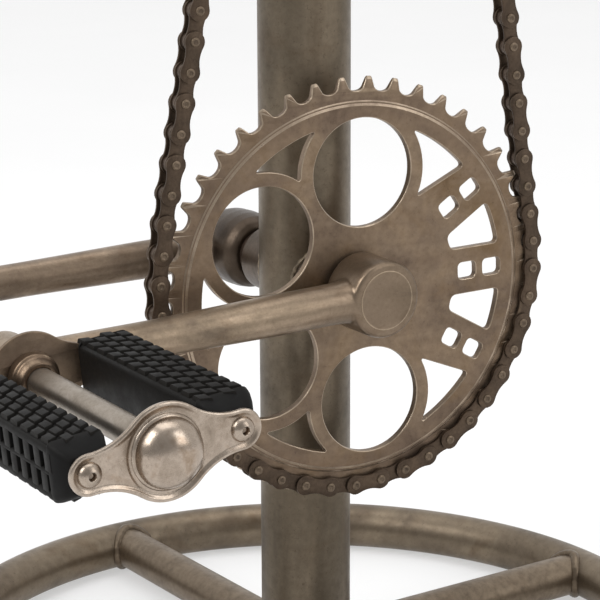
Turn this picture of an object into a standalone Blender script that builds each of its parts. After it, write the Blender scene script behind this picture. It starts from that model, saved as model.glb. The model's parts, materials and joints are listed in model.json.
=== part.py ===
"""Bar stool in the style of a unicycle: post on a ring base, chainring and chain loop, fixed cranks with
block pedals as foot rests, and a leather saddle on a clamped seat post.

Metres, +Z up. The origin is on the floor at the post's centre line. The cranks point to -Y, the chain
runs on the +X side.
"""
import math

import bmesh
import bpy
from mathutils import Vector
from mathutils.geometry import tessellate_polygon

GAP = 0.0003                    # clearance kept between pieces that touch
CUT_MARGIN = 0.0100             # by which a cutting shape stands clear of what it cuts

# Base and post
BASE_RADIUS = 0.1703            # centre line of the base ring
BASE_TUBE_RADIUS = 0.0114
SPOKE_RADIUS = 0.0102
SPOKE_TURN = math.radians(3.1)  # the spokes are turned a little from the cranks' direction
POST_RADIUS = 0.0206
POST_BORE = 0.0184
POST_TOP = 0.6255
PLUG_THICKNESS = 0.0030
PLUG_LENGTH = 0.0150

# Crank axle and its shell
AXLE_Z = 0.1928
AXLE_RADIUS = 0.0090
SHELL_RADIUS = 0.0150
SHELL_HALF_LENGTH = 0.0315
SPACER_RADIUS = 0.0115

# Chain drive
PITCH = 0.0127
CHAIN_LINKS = 88
CHAIN_X = 0.0400                # middle plane of the chain, at the crank axle
DRIVE_YAW = math.radians(-4.2)  # the chainring and chain sit a little askew on the axle
RING_TEETH = 44
SPROCKET_TEETH = 18
RING_PHASE = math.radians(7.8)  # angle of the chain pin nearest to the rear tangent point
RING_THICKNESS = 0.0028
RING_STEP_RADIUS = 0.0810       # inside this radius the chainring is thicker on its outer face
RING_STEP = 0.0009
SPROCKET_THICKNESS = 0.0026
TOOTH_PROFILE = ((0.0, -0.0043), (0.30, -0.0014), (0.43, 0.0035), (0.57, 0.0035), (0.70, -0.0014))
ROLLER_RADIUS = 0.0030
STRAND_FACES = (0.0017, 0.0040) # distances of a side strand's faces from the chain's middle plane
PLATE_HALF_HEIGHT = 0.0044

# Chainring openings
RING_AXIS = math.radians(2.2)   # the middle one of the three slotted spokes
FEATURE_STEP = math.radians(32.0)
HOLE_RADIUS = 0.0238
HOLE_CENTRE_RADIUS = 0.0513
RIM_INNER_RADIUS = 0.0750
HUB_RADIUS = 0.0495
WEB = 0.0062                    # strip left round each large hole
RING_SPOKE_HALF_WIDTH = 0.0105
SLOT_RADII = (0.0565, 0.0692)
SLOT_HALF_LENGTH = 0.0045
SLOT_HALF_WIDTH = 0.0037
SLOT_CORNER = 0.0022

# Upper sprocket
STUB_RADIUS = 0.0120
SPROCKET_BOLT_RADIUS = 0.0050
SPROCKET_BOLT_ROOT = -0.0140    # from the chain's middle plane
SPROCKET_WASHER = 0.0018
BOLT_HEAD_RADIUS = 0.0085
BOLT_HEAD_HEIGHT = 0.0055
SPROCKET_WASHER_RADIUS = 0.0120

# Cranks, distances along the axle as on the left-hand side
RIGHT_CRANK_SHIFT = -0.0047     # the right-hand crank and pedal sit this much further in
CRANK_LENGTH = 0.1715
CRANK_DROOP = math.radians(1.6) # the cranks point forward and slightly down
ARM_X = 0.0635
ARM_RADIUS = 0.00785
ARM_STATIONS = ((-0.0138, 0.0618, 0.0088), (-0.0500, 0.0626, 0.0089), (-0.1050, ARM_X, ARM_RADIUS),
                (0.0040 - CRANK_LENGTH, ARM_X, ARM_RADIUS))    # Y, X and radius along an arm
BOSS_OUTER_X = 0.0713
RIGHT_BOSS = ((0.0485, 0.0160), (0.0495, 0.0170), (0.0693, 0.0170), (BOSS_OUTER_X, 0.0155))
LEFT_BOSS = ((0.0392, 0.0125), (0.0440, 0.0165), (0.0500, 0.0176), (0.0560, 0.0178), (0.0640, 0.0174),
             (0.0690, 0.0163), (BOSS_OUTER_X, 0.0145))
BOSS_PLUG_RADIUS = 0.0130
BOSS_PLUG_DEPTH = 0.0014
BOSS_PLUG_RIM = 0.0002          # height of the plug above the boss
AXLE_SOCKET_END = 0.0640
EYE_RADIUS = 0.0125
EYE_HALF_WIDTH = 0.0080
SPINDLE_THREAD_RADIUS = 0.0065

# Pedals, distances along the spindle as on the left-hand side
PEDAL_PITCH = math.radians(6.0)
PEDAL_INNER_X = 0.0812
PEDAL_OUTER_X = 0.1932
PLATE_THICKNESS = 0.0020
PLATE_DISC_RADIUS = 0.0180
LOBE_RADIUS = 0.0060
LOBE_OFFSET = 0.0300
NECK_FILLET = 0.0160
SLEEVE_RADIUS = 0.0070
SLEEVE_BORE = 0.0060
BUSH_BORE = 0.0049
SPINDLE_RADIUS = 0.0046
COLLAR_LENGTH = 0.0068
COLLAR_RADIUS = 0.0105
COLLAR_GAP = 0.0010             # between the collar and the spindle's flange
FLANGE_RADIUS = 0.0095
BLOCK_CENTRE = 0.0290
BLOCK_HALF_WIDTH = 0.0108
BLOCK_HALF_HEIGHT = 0.0115
BLOCK_CHAMFER = 0.0030
TIE_ROD_RADIUS = 0.0026
TIE_ROD_NUT = (0.0035, 0.0046)  # length and radius
RIVET_HEAD = ((0.0, 0.0048), (0.0013, 0.0042), (0.0024, 0.0))
SPINDLE_END = 0.0040            # from the outer plate's face back to the spindle's end
CAP_RADIUS = 0.0135
CAP_HEIGHT = 0.0095

# Seat post, clamp and saddle
SEAT_POST_RADIUS = 0.0127
SEAT_POST_BORE = 0.0105
SEAT_POST_BOTTOM = 0.4605
SEAT_POST_TOP = 0.6555
BUSH_BOTTOM = 0.5555
BUSH_FLANGE = 0.0035
CLAMP_Z = (0.6025, 0.6225)
CLAMP_RADIUS = 0.0255
EAR_Y = 0.0310
EAR_HALF_HEIGHT = 0.0065
EAR_HALF_WIDTH = 0.0080
SLIT = 0.0015
SKEWER_RADIUS = 0.0028
SKEWER_HEAD = (0.0060, 0.0055)  # length and radius
SKEWER_END = 0.0077             # from the lever's pivot back to the skewer's end
LEVER_X = 0.0165
LEVER_RADII = (0.0320, 0.0365)
LEVER_HALF_HEIGHT = 0.0060
LEVER_ANGLES = (math.radians(-32), math.radians(34), math.radians(28))  # its tip, outer and inner starts
LEVER_CAM_BACK = ((-0.0060, 0.0040), (0.0, 0.0065), (0.0060, 0.0035))
LEVER_CAM_FRONT = (-0.0060, -0.0040)
HEAD_BOTTOM = 0.6355
HEAD_RADIUS = 0.0160
TILT_Z = 0.6705
BARREL_RADIUS = 0.0135
TILT_BOLT_RADIUS = 0.0040
CLAMP_FACE_X = 0.0163
RAIL_X = 0.0210
RAIL_RADIUS = 0.0035
RAIL_RISE = 0.0105              # height of the rails above the tilt bolt
RAIL_ROUTE = ((0.0066, -0.1280, 0.0300), (0.0074, -0.1160, 0.0250), (0.0115, -0.0850, 0.0090),
              (0.0190, -0.0520, 0.0005), (RAIL_X, -0.0350, 0.0), (RAIL_X, 0.0350, 0.0),
              (0.0240, 0.0520, 0.0020), (0.0340, 0.0780, 0.0140), (0.0410, 0.0940, 0.0260))
GROOVE_REACH = 0.0300           # half the length of the groove cut for a rail
RAIL_CLAMP_OUTER_X = 0.0262
TILT_NUT = (0.0065, 0.0080)     # length and radius
TILT_BOLT_REACH = 0.0080        # beyond the rail clamps
SADDLE_BACK = 0.1300
SADDLE_FRONT = -0.1500
SADDLE_RISE = 0.0770            # height of the saddle's top above the tilt bolt
FLARE_PLACE = 0.62              # share of the length at which the saddle widens
FLARE_SHARPNESS = 13
FLARE_WIDTH = 0.0760
NOSE_HALF_WIDTH = 0.0225
NOSE_TAPER = 0.0080
NOSE_SHARE = 0.16               # shares of the length over which the two ends are rounded
TAIL_SHARE = 0.20
SKIRT_TURN = math.radians(100)  # how far the leather wraps down on each side
SKIRT_DEPTH = 0.0340
SIDE_DROP = 0.0120
TAIL_DROP = 0.0200
NOSE_DROP = 0.0140
SADDLE_DIP = 0.0100
LEATHER = 0.0045
CANTLE_RADII = (0.0905, 0.0945)
CANTLE_ANGLES = (math.radians(42), math.radians(138))
CANTLE_Z = (-0.0060, 0.0040)    # from the rails' ends
CANTLE_DEPTH = 0.0740           # from the rails' ends forward to the cantle plate's centre
BRACKET_HALF_WIDTH = 0.0125
BRACKET_Y = (-0.0050, -0.0020)  # from the rails' front ends
BRACKET_HALF_HEIGHT = 0.0060


def clear_scene():
    for obj in list(bpy.data.objects):
        bpy.data.objects.remove(obj, do_unlink=True)


def material(name, colour, roughness, metallic):
    made = bpy.data.materials.new(name)
    made.use_nodes = True
    shader = made.node_tree.nodes["Principled BSDF"]
    shader.inputs["Base Color"].default_value = (*colour, 1.0)
    shader.inputs["Roughness"].default_value = roughness
    shader.inputs["Metallic"].default_value = metallic
    return made


FINISHES = {
    "frame_steel": ((0.105, 0.092, 0.074), 0.42, 1.0),
    "ring_steel": ((0.150, 0.115, 0.082), 0.45, 1.0),
    "chain_steel": ((0.090, 0.062, 0.045), 0.50, 1.0),
    "nickel": ((0.520, 0.470, 0.410), 0.30, 1.0),
    "rubber": ((0.012, 0.012, 0.013), 0.75, 0.0),
    "leather": ((0.105, 0.045, 0.020), 0.50, 0.0),
}


def finish_mesh(name, bm, finish, parent=None, location=(0, 0, 0), smooth=30.0):
    """Turn a bmesh into a named object with its own material."""
    bmesh.ops.recalc_face_normals(bm, faces=bm.faces)
    mesh = bpy.data.meshes.new(name)
    bm.to_mesh(mesh)
    bm.free()
    mesh.shade_smooth()
    mesh.set_sharp_from_angle(angle=math.radians(smooth))
    mesh.materials.append(material(name + "_finish", *FINISHES[finish]))
    obj = bpy.data.objects.new(name, mesh)
    bpy.context.scene.collection.objects.link(obj)
    obj.location = location
    obj.parent = parent
    return obj


def empty(name, location, rotation=(0, 0, 0)):
    obj = bpy.data.objects.new(name, None)
    bpy.context.scene.collection.objects.link(obj)
    obj.location = location
    obj.rotation_euler = rotation
    return obj


def circle(radius, count, centre=(0.0, 0.0), start=0.0):
    return [(centre[0] + radius * math.cos(start + math.tau * i / count),
             centre[1] + radius * math.sin(start + math.tau * i / count)) for i in range(count)]


def arc(centre, radius, start, stop, count):
    """Points of an arc, both ends included."""
    return [(centre[0] + radius * math.cos(start + (stop - start) * i / (count - 1)),
             centre[1] + radius * math.sin(start + (stop - start) * i / (count - 1))) for i in range(count)]


AXES = {"X": lambda t, u, v: (t, u, v), "Z": lambda t, u, v: (u, v, t)}


def add_plate(bm, outline, holes, low, high, axis="X"):
    """Flat plate between two planes across the axis, with its outline and holes given in that plane."""
    place = AXES[axis]
    loops = [outline, *holes]
    flat = [Vector((u, v, 0)) for loop in loops for u, v in loop]
    sides = []
    for t in (low, high):
        sides.append([bm.verts.new(place(t, p.x, p.y)) for p in flat])
    for tri in tessellate_polygon([[Vector((u, v, 0)) for u, v in loop] for loop in loops]):
        for verts in sides:
            bm.faces.new([verts[i] for i in tri])
    first = 0
    for loop in loops:
        for i in range(len(loop)):
            a, b = first + i, first + (i + 1) % len(loop)
            bm.faces.new((sides[0][a], sides[0][b], sides[1][b], sides[1][a]))
        first += len(loop)


def fill_loops(bm, loops):
    """Fill the flat area between loops of vertices that lie in one plane across X."""
    corners = [vert for loop in loops for vert in loop]
    for tri in tessellate_polygon([[Vector((vert.co.y, vert.co.z, 0)) for vert in loop] for loop in loops]):
        bm.faces.new([corners[i] for i in tri])


def add_wall(bm, a, b):
    """Side wall between two loops of vertices."""
    for i in range(len(a)):
        bm.faces.new((a[i - 1], a[i], b[i], b[i - 1]))


def add_turned(bm, profile, count, axis="X", centre=(0.0, 0.0), closed=False):
    """Revolve (along, radius) points round the axis; a closed profile makes a ring."""
    place = AXES[axis]
    rings = []
    for t, radius in profile:
        if radius == 0.0:
            rings.append([bm.verts.new(place(t, *centre))])
            continue
        points = circle(radius, count, centre, math.pi / count)
        rings.append([bm.verts.new(place(t, u, v)) for u, v in points])
    pairs = list(zip(rings, rings[1:]))
    if closed:
        pairs.append((rings[-1], rings[0]))
    for a, b in pairs:
        for i in range(count):
            j = (i + 1) % count
            corners = [a[i % len(a)], a[j % len(a)], b[j % len(b)], b[i % len(b)]]
            bm.faces.new(list(dict.fromkeys(corners)))


def add_sweep(bm, points, radius, count):
    """Round bar along a list of points, with flat ends."""
    rings = []
    side = None
    for i, point in enumerate(points):
        ahead = points[min(i + 1, len(points) - 1)] - points[max(i - 1, 0)]
        ahead.normalize()
        if side is None:
            side = ahead.orthogonal().normalized()
        side = (side - ahead * side.dot(ahead)).normalized()
        up = ahead.cross(side)
        ring = []
        for u, v in circle(radius, count):
            ring.append(bm.verts.new(point + side * u + up * v))
        rings.append(ring)
    for a, b in zip(rings, rings[1:]):
        for i in range(count):
            j = (i + 1) % count
            bm.faces.new((a[i], a[j], b[j], b[i]))
    bm.faces.new(rings[0])
    bm.faces.new(rings[-1])


def turned(name, finish, profile, count, axis="X", centre=(0.0, 0.0), closed=False, parent=None,
           location=(0, 0, 0)):
    bm = bmesh.new()
    add_turned(bm, profile, count, axis, centre, closed)
    return finish_mesh(name, bm, finish, parent, location)


def tube(name, finish, outer, inner, low, high, count, axis="X", parent=None, location=(0, 0, 0)):
    profile = [(low, inner), (low, outer), (high, outer), (high, inner)]
    return turned(name, finish, profile, count, axis, closed=True, parent=parent, location=location)


def plate(name, finish, outline, holes, low, high, axis="X", parent=None, location=(0, 0, 0)):
    bm = bmesh.new()
    add_plate(bm, outline, holes, low, high, axis)
    return finish_mesh(name, bm, finish, parent, location)


def cutter(name, build, parent=None, location=(0, 0, 0)):
    """Guide object for a Boolean, left out of the build."""
    bm = bmesh.new()
    build(bm)
    obj = finish_mesh(name, bm, "frame_steel", parent, location)
    obj.hide_render = True
    obj.display_type = "WIRE"
    return obj


def combine(obj, other, operation):
    modifier = obj.modifiers.new(operation.lower() + "_" + other.name, "BOOLEAN")
    modifier.operation = operation
    modifier.object = other
    modifier.solver = "EXACT"


# ---------------------------------------------------------------- base and post

def post_clearance():
    """Cutter a little wider than the post, which shapes the ends of the pieces welded to its side."""
    radius = POST_RADIUS + GAP
    return cutter("post_clearance", lambda bm: add_turned(
        bm, [(-CUT_MARGIN, 0.0), (-CUT_MARGIN, radius), (POST_TOP, radius), (POST_TOP, 0.0)], 32, "Z"))


def make_base(post_cut):
    section = circle(BASE_TUBE_RADIUS, 12, (BASE_TUBE_RADIUS, BASE_RADIUS), math.pi)
    turned("base_ring", "frame_steel", section, 48, axis="Z", closed=True)
    grown = circle(BASE_TUBE_RADIUS + GAP, 12, (BASE_TUBE_RADIUS, BASE_RADIUS), math.pi)
    ring_cut = cutter("ring_clearance", lambda bm: add_turned(bm, grown, 48, "Z", closed=True))
    root = POST_RADIUS / 2
    profile = [(root, 0.0), (root, SPOKE_RADIUS), (BASE_RADIUS, SPOKE_RADIUS), (BASE_RADIUS, 0.0)]
    for name, angle in (("spoke_right", 0), ("spoke_back", 90), ("spoke_left", 180), ("spoke_front", 270)):
        spoke = turned(name, "frame_steel", profile, 16, location=(0, 0, BASE_TUBE_RADIUS))
        spoke.rotation_euler = (0, 0, math.radians(angle) + SPOKE_TURN)
        combine(spoke, ring_cut, "DIFFERENCE")
        combine(spoke, post_cut, "DIFFERENCE")


def make_post():
    post = tube("post", "frame_steel", POST_RADIUS, POST_BORE, PLUG_THICKNESS + GAP, POST_TOP, 32, "Z")
    reach = 2 * POST_RADIUS
    radius = SHELL_RADIUS + 2 * GAP
    profile = [(-reach, 0.0), (-reach, radius), (reach, radius), (reach, 0.0)]
    hole = cutter("shell_clearance", lambda bm: add_turned(bm, profile, 24), location=(0, 0, AXLE_Z))
    combine(post, hole, "DIFFERENCE")
    spigot = POST_BORE - GAP
    profile = [(0.0, 0.0), (0.0, POST_RADIUS), (PLUG_THICKNESS, POST_RADIUS), (PLUG_THICKNESS, spigot),
               (PLUG_LENGTH, spigot), (PLUG_LENGTH, 0.0)]
    turned("post_plug", "frame_steel", profile, 32, "Z")


# ---------------------------------------------------------------- chain drive

def pitch_radius(teeth):
    return PITCH / (2 * math.sin(math.pi / teeth))


class ChainPath:
    """Closed path of the chain pins round the chainring and the upper sprocket, seen along X."""

    def __init__(self, distance):
        self.ring = pitch_radius(RING_TEETH)
        self.top = pitch_radius(SPROCKET_TEETH)
        self.distance = distance
        self.slope = math.asin((self.ring - self.top) / distance)
        self.run = distance * math.cos(self.slope)
        wrap_top = math.pi - 2 * self.slope
        self.lengths = [self.ring * (RING_PHASE + math.pi + self.slope), self.run, self.top * wrap_top,
                        self.run, self.ring * (self.slope - RING_PHASE)]
        self.total = sum(self.lengths)

    def point(self, s):
        s %= self.total
        piece = 0
        while s > self.lengths[piece]:
            s -= self.lengths[piece]
            piece += 1
        share = s / self.lengths[piece]
        left = math.pi - self.slope
        right = self.slope
        if piece == 0:
            return self.on_circle(0.0, self.ring, RING_PHASE - s / self.ring)
        if piece == 1:
            return self.between(left, share)
        if piece == 2:
            return self.on_circle(self.distance, self.top, left - s / self.top)
        if piece == 3:
            return self.between(right, 1 - share)
        return self.on_circle(0.0, self.ring, right - s / self.ring)

    def on_circle(self, height, radius, angle):
        return Vector((radius * math.cos(angle), height + radius * math.sin(angle)))

    def between(self, angle, share):
        low = self.on_circle(0.0, self.ring, angle)
        high = self.on_circle(self.distance, self.top, angle)
        return low.lerp(high, share)

    def walk(self):
        """Path positions of the pins, one pitch apart in a straight line."""
        places = [0.0]
        for _ in range(CHAIN_LINKS):
            here = self.point(places[-1])
            low, high = places[-1] + 0.9 * PITCH, places[-1] + 1.1 * PITCH
            for _ in range(40):
                middle = (low + high) / 2
                if (self.point(middle) - here).length < PITCH:
                    low = middle
                else:
                    high = middle
            places.append(low)
        return places


def chain_distance():
    """Distance between the axles at which the loop closes on a whole number of links."""
    low, high = 0.345, 0.370
    for _ in range(40):
        middle = (low + high) / 2
        path = ChainPath(middle)
        if path.walk()[-1] > path.total:
            low = middle
        else:
            high = middle
    return low


def toothed(teeth, seat_angle):
    """Outline with a roller seat at seat_angle and a tooth half a step on from it."""
    radius = pitch_radius(teeth)
    step = math.tau / teeth
    points = []
    for i in range(teeth):
        for share, height in TOOTH_PROFILE:
            points.append(polar(radius + height, seat_angle + (i + share) * step))
    return points


def polar(radius, angle):
    return (radius * math.cos(angle), radius * math.sin(angle))


def hole_angles():
    return [RING_AXIS + math.pi + k * FEATURE_STEP for k in (-3, -1, 1, 3)]


def rim_window(angle):
    """Three-sided window at the rim, between two round holes."""
    web = HOLE_RADIUS + WEB
    points = []
    reach = FEATURE_STEP - math.acos((RIM_INNER_RADIUS ** 2 + HOLE_CENTRE_RADIUS ** 2 - web ** 2)
                                     / (2 * RIM_INNER_RADIUS * HOLE_CENTRE_RADIUS))
    points += arc((0, 0), RIM_INNER_RADIUS, angle - reach, angle + reach, 6)
    inner = HOLE_CENTRE_RADIUS * math.cos(FEATURE_STEP) + math.sqrt(
        web ** 2 - (HOLE_CENTRE_RADIUS * math.sin(FEATURE_STEP)) ** 2)
    for side in (1, -1):
        centre = polar(HOLE_CENTRE_RADIUS, angle + side * FEATURE_STEP)
        ends = [polar(RIM_INNER_RADIUS, angle + side * reach), polar(inner, angle)]
        if side < 0:
            ends.reverse()
        angles = [math.atan2(p[1] - centre[1], p[0] - centre[0]) for p in ends]
        while angles[1] - angles[0] > math.pi:
            angles[1] -= math.tau
        while angles[1] - angles[0] < -math.pi:
            angles[1] += math.tau
        points += arc(centre, web, angles[0], angles[1], 5)[1:]
    return points[:-1]


def spoke_window(start, stop):
    """Window between two slotted spokes, whose middle lines are at the two angles."""
    points = []
    for radius, order in ((RIM_INNER_RADIUS, 1), (HUB_RADIUS, -1)):
        half = math.asin(RING_SPOKE_HALF_WIDTH / radius)
        low, high = start + half, stop - half
        points += arc((0, 0), radius, low, high, 5) if order > 0 else arc((0, 0), radius, high, low, 3)
    return points


def edge_window(spoke, hole, side):
    """Window between a slotted spoke and a round hole; side is +1 if the hole has the larger angle."""
    web = HOLE_RADIUS + WEB
    centre = polar(HOLE_CENTRE_RADIUS, hole)
    rim_turn = math.acos((RIM_INNER_RADIUS ** 2 + HOLE_CENTRE_RADIUS ** 2 - web ** 2)
                         / (2 * RIM_INNER_RADIUS * HOLE_CENTRE_RADIUS))
    top = hole - side * rim_turn
    start = spoke + side * math.asin(RING_SPOKE_HALF_WIDTH / RIM_INNER_RADIUS)
    points = arc((0, 0), RIM_INNER_RADIUS, start, top, 5)
    first = math.atan2(points[-1][1] - centre[1], points[-1][0] - centre[0])
    low = Vector(polar(HUB_RADIUS, spoke + side * math.asin(RING_SPOKE_HALF_WIDTH / HUB_RADIUS)))
    out = Vector(polar(1.0, spoke))
    back = low - Vector(centre)
    along = -back.dot(out) - math.sqrt(max(back.dot(out) ** 2 - back.length_squared + web ** 2, 0.0))
    if along > 0:
        low = low + out * along
    last = math.atan2(low.y - centre[1], low.x - centre[0])
    while last - first > math.pi:
        last -= math.tau
    while last - first < -math.pi:
        last += math.tau
    points += arc(centre, web, first, last, 6)[1:]
    return points


def slot(angle, radius):
    """Rounded rectangular hole on a slotted spoke's middle line."""
    centre = polar(radius, angle)
    length, width, corner = SLOT_HALF_LENGTH, SLOT_HALF_WIDTH, SLOT_CORNER
    outline = [(length, width - corner), (length - corner, width), (corner - length, width),
               (-length, width - corner)]
    outline += [(u, -v) for u, v in reversed(outline)]
    return [(centre[0] + math.cos(angle) * u - math.sin(angle) * v,
             centre[1] + math.sin(angle) * u + math.cos(angle) * v) for u, v in outline]


def add_stepped_plate(bm, outline, step, holes, low, edge, high):
    """Plate across X that is thicker inside the step outline: up to edge at its rim and high inside."""
    def ring(x, loop):
        return [bm.verts.new((x, u, v)) for u, v in loop]

    back, rim = ring(low, outline), ring(edge, outline)
    step_low, step_high = ring(edge, step), ring(high, step)
    holes_back, holes_front = [ring(low, hole) for hole in holes], [ring(high, hole) for hole in holes]
    fill_loops(bm, [back, *holes_back])
    fill_loops(bm, [rim, step_low])
    fill_loops(bm, [step_high, *holes_front])
    for a, b in ((back, rim), (step_low, step_high), *zip(holes_back, holes_front)):
        add_wall(bm, a, b)


def make_chainring(drive):
    spokes = [RING_AXIS + k * FEATURE_STEP for k in (-1, 0, 1)]
    large = hole_angles()
    holes = [circle(AXLE_RADIUS + 2 * GAP, 16)]
    holes += [circle(HOLE_RADIUS, 24, polar(HOLE_CENTRE_RADIUS, angle)) for angle in large]
    holes += [rim_window(RING_AXIS + math.pi + k * FEATURE_STEP) for k in (-2, 0, 2)]
    holes += [spoke_window(spokes[0], spokes[1]), spoke_window(spokes[1], spokes[2])]
    holes += [edge_window(spokes[2], large[0], 1),
              edge_window(spokes[0], large[3] - math.tau, -1)]
    holes += [slot(angle, radius) for angle in spokes for radius in SLOT_RADII]
    edge = RING_THICKNESS / 2
    bm = bmesh.new()
    add_stepped_plate(bm, toothed(RING_TEETH, RING_PHASE), circle(RING_STEP_RADIUS, 48), holes,
                      -edge, edge, edge + RING_STEP)
    finish_mesh("chainring", bm, "ring_steel", drive)


def make_chain(path, drive):
    """Chain as one closed loop: a strand of plates on each side, joined by the rollers."""
    pins = [path.point(s) for s in path.walk()[:-1]]
    count = len(pins)
    outer, inner = [], []
    for i, pin in enumerate(pins):
        along = (pins[(i + 1) % count] - pins[i - 1]).normalized()
        across = Vector((-along.y, along.x)) * PLATE_HALF_HEIGHT
        outer.append(pin + across)
        inner.append(pin - across)
    seats = [circle(ROLLER_RADIUS, 4, tuple(pin)) for pin in pins]
    bm = bmesh.new()
    ends = []
    for side in (-1, 1):
        near, far = (side * distance for distance in STRAND_FACES)
        edges = {x: [[bm.verts.new((x, *point)) for point in line] for line in (outer, inner)]
                 for x in (near, far)}
        holes = [[bm.verts.new((near, *corner)) for corner in seat] for seat in seats]
        fill_loops(bm, [*edges[near], *holes])
        fill_loops(bm, edges[far])
        for low, high in zip(edges[near], edges[far]):
            add_wall(bm, low, high)
        ends.append(holes)
    for left, right in zip(*ends):
        add_wall(bm, left, right)
    finish_mesh("drive_chain", bm, "chain_steel", drive)


def make_upper_drive(path, post_cut, drive):
    """Small fixed sprocket bolted to a stub on the post's side."""
    place = (0, 0, path.distance)
    wrapped = [s for s in path.walk() if path.lengths[0] + path.lengths[1] < s < sum(path.lengths[:3])]
    first = path.point(wrapped[0]) - Vector((0, path.distance))
    bore = SPROCKET_BOLT_RADIUS + GAP
    face = SPROCKET_THICKNESS / 2
    seat = math.atan2(first.y, first.x)
    plate("upper_sprocket", "ring_steel", toothed(SPROCKET_TEETH, seat), [circle(bore, 12)], -face, face,
          parent=drive, location=place)
    stub = tube("upper_stub", "frame_steel", STUB_RADIUS, bore, POST_RADIUS / 2 - CHAIN_X, -face - GAP, 20,
                parent=drive, location=place)
    combine(stub, post_cut, "DIFFERENCE")
    washer = face + SPROCKET_WASHER
    tube("sprocket_washer", "chain_steel", SPROCKET_WASHER_RADIUS, bore, face + GAP, washer, 16, parent=drive,
         location=place)
    bm = bmesh.new()
    shank, head = circle(SPROCKET_BOLT_RADIUS, 12), circle(BOLT_HEAD_RADIUS, 6)
    foot = washer + GAP
    top = foot + BOLT_HEAD_HEIGHT
    root = [bm.verts.new((SPROCKET_BOLT_ROOT, u, v)) for u, v in shank]
    neck = [bm.verts.new((foot, u, v)) for u, v in shank]
    under = [bm.verts.new((foot, u, v)) for u, v in head]
    over = [bm.verts.new((top, u, v)) for u, v in head]
    add_wall(bm, root, neck)
    add_wall(bm, under, over)
    fill_loops(bm, [under, neck])
    bm.faces.new(root)
    bm.faces.new(over)
    finish_mesh("sprocket_bolt", bm, "chain_steel", drive, place)


# ---------------------------------------------------------------- cranks

def make_axle():
    bore = AXLE_RADIUS + GAP
    place = (0, 0, AXLE_Z)
    half = SHELL_HALF_LENGTH
    tube("bottom_bracket_shell", "frame_steel", SHELL_RADIUS, bore, -half, half, 24, location=place)
    left = GAP - AXLE_SOCKET_END
    right = RIGHT_CRANK_SHIFT - left
    profile = [(left, 0.0), (left, AXLE_RADIUS), (right, AXLE_RADIUS), (right, 0.0)]
    turned("crank_axle", "frame_steel", profile, 16, location=place)
    skew = SPACER_RADIUS * math.tan(abs(DRIVE_YAW))
    ring_back = CHAIN_X - RING_THICKNESS / 2 - skew - GAP
    boss_back = LEFT_BOSS[0][0] - GAP
    tube("right_axle_spacer", "frame_steel", SPACER_RADIUS, bore, half + GAP, ring_back, 20, location=place)
    tube("left_axle_spacer", "frame_steel", SPACER_RADIUS, bore, -boss_back, -half - GAP, 20, location=place)


def make_crank(side, label, boss, hub):
    """Crank with a boss on the axle, a round arm and an eye for the pedal spindle."""
    bore = AXLE_RADIUS + GAP
    recess = BOSS_OUTER_X - BOSS_PLUG_DEPTH
    profile = [(AXLE_SOCKET_END, 0.0), (AXLE_SOCKET_END, bore), (boss[0][0], bore), *boss,
               (BOSS_OUTER_X, BOSS_PLUG_RADIUS + GAP), (recess, BOSS_PLUG_RADIUS + GAP), (recess, 0.0)]
    crank = turned(label + "_crank", "frame_steel", [(side * t, r) for t, r in profile], 24, parent=hub)

    def arm(bm):
        rings = []
        for y, x, radius in ARM_STATIONS:
            rings.append([bm.verts.new((side * x + u, y, v)) for u, v in circle(radius, 16)])
        for a, b in zip(rings, rings[1:]):
            add_wall(bm, a, b)
        bm.faces.new(rings[0])
        bm.faces.new(rings[-1])

    def eye(bm):
        low, high = ARM_X - EYE_HALF_WIDTH, ARM_X + EYE_HALF_WIDTH
        outline = [(low, 0.0), (low, EYE_RADIUS), (high, EYE_RADIUS), (high, 0.0)]
        add_turned(bm, [(side * t, r) for t, r in outline], 16, centre=(-CRANK_LENGTH, 0.0))

    def eye_bore(bm):
        low, high = ARM_X - 2 * EYE_HALF_WIDTH, ARM_X + 2 * EYE_HALF_WIDTH
        radius = SPINDLE_THREAD_RADIUS + GAP
        outline = [(low, 0.0), (low, radius), (high, radius), (high, 0.0)]
        add_turned(bm, [(side * t, r) for t, r in outline], 16, centre=(-CRANK_LENGTH, 0.0))

    combine(crank, cutter(label + "_arm_shape", arm, hub), "UNION")
    combine(crank, cutter(label + "_eye_shape", eye, hub), "UNION")
    combine(crank, cutter(label + "_eye_bore", eye_bore, hub), "DIFFERENCE")
    low, high = recess + GAP, BOSS_OUTER_X + BOSS_PLUG_RIM
    cap = [(low, 0.0), (low, BOSS_PLUG_RADIUS), (high, BOSS_PLUG_RADIUS), (high, 0.0)]
    turned(label + "_boss_plug", "frame_steel", [(side * t, r) for t, r in cap], 24, parent=hub)


# ---------------------------------------------------------------- pedals

def dog_bone():
    """End plate outline: disc and two lobes joined by concave fillets."""
    disc, lobe = PLATE_DISC_RADIUS + NECK_FILLET, LOBE_RADIUS + NECK_FILLET
    y = (disc ** 2 - lobe ** 2 + LOBE_OFFSET ** 2) / (2 * LOBE_OFFSET)
    z = math.sqrt(disc ** 2 - y ** 2)
    on_disc = math.atan2(z, y)
    on_lobe = math.atan2(z, y - LOBE_OFFSET)
    quarter = arc((LOBE_OFFSET, 0.0), LOBE_RADIUS, 0.0, on_lobe, 5)
    quarter += arc((y, z), NECK_FILLET, on_lobe - math.pi, on_disc - math.pi, 4)[1:-1]
    quarter += arc((0.0, 0.0), PLATE_DISC_RADIUS, on_disc, math.pi / 2, 4)
    half = quarter + [(-u, v) for u, v in reversed(quarter[:-1])]
    return half + [(u, -v) for u, v in reversed(half[1:-1])]


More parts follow.
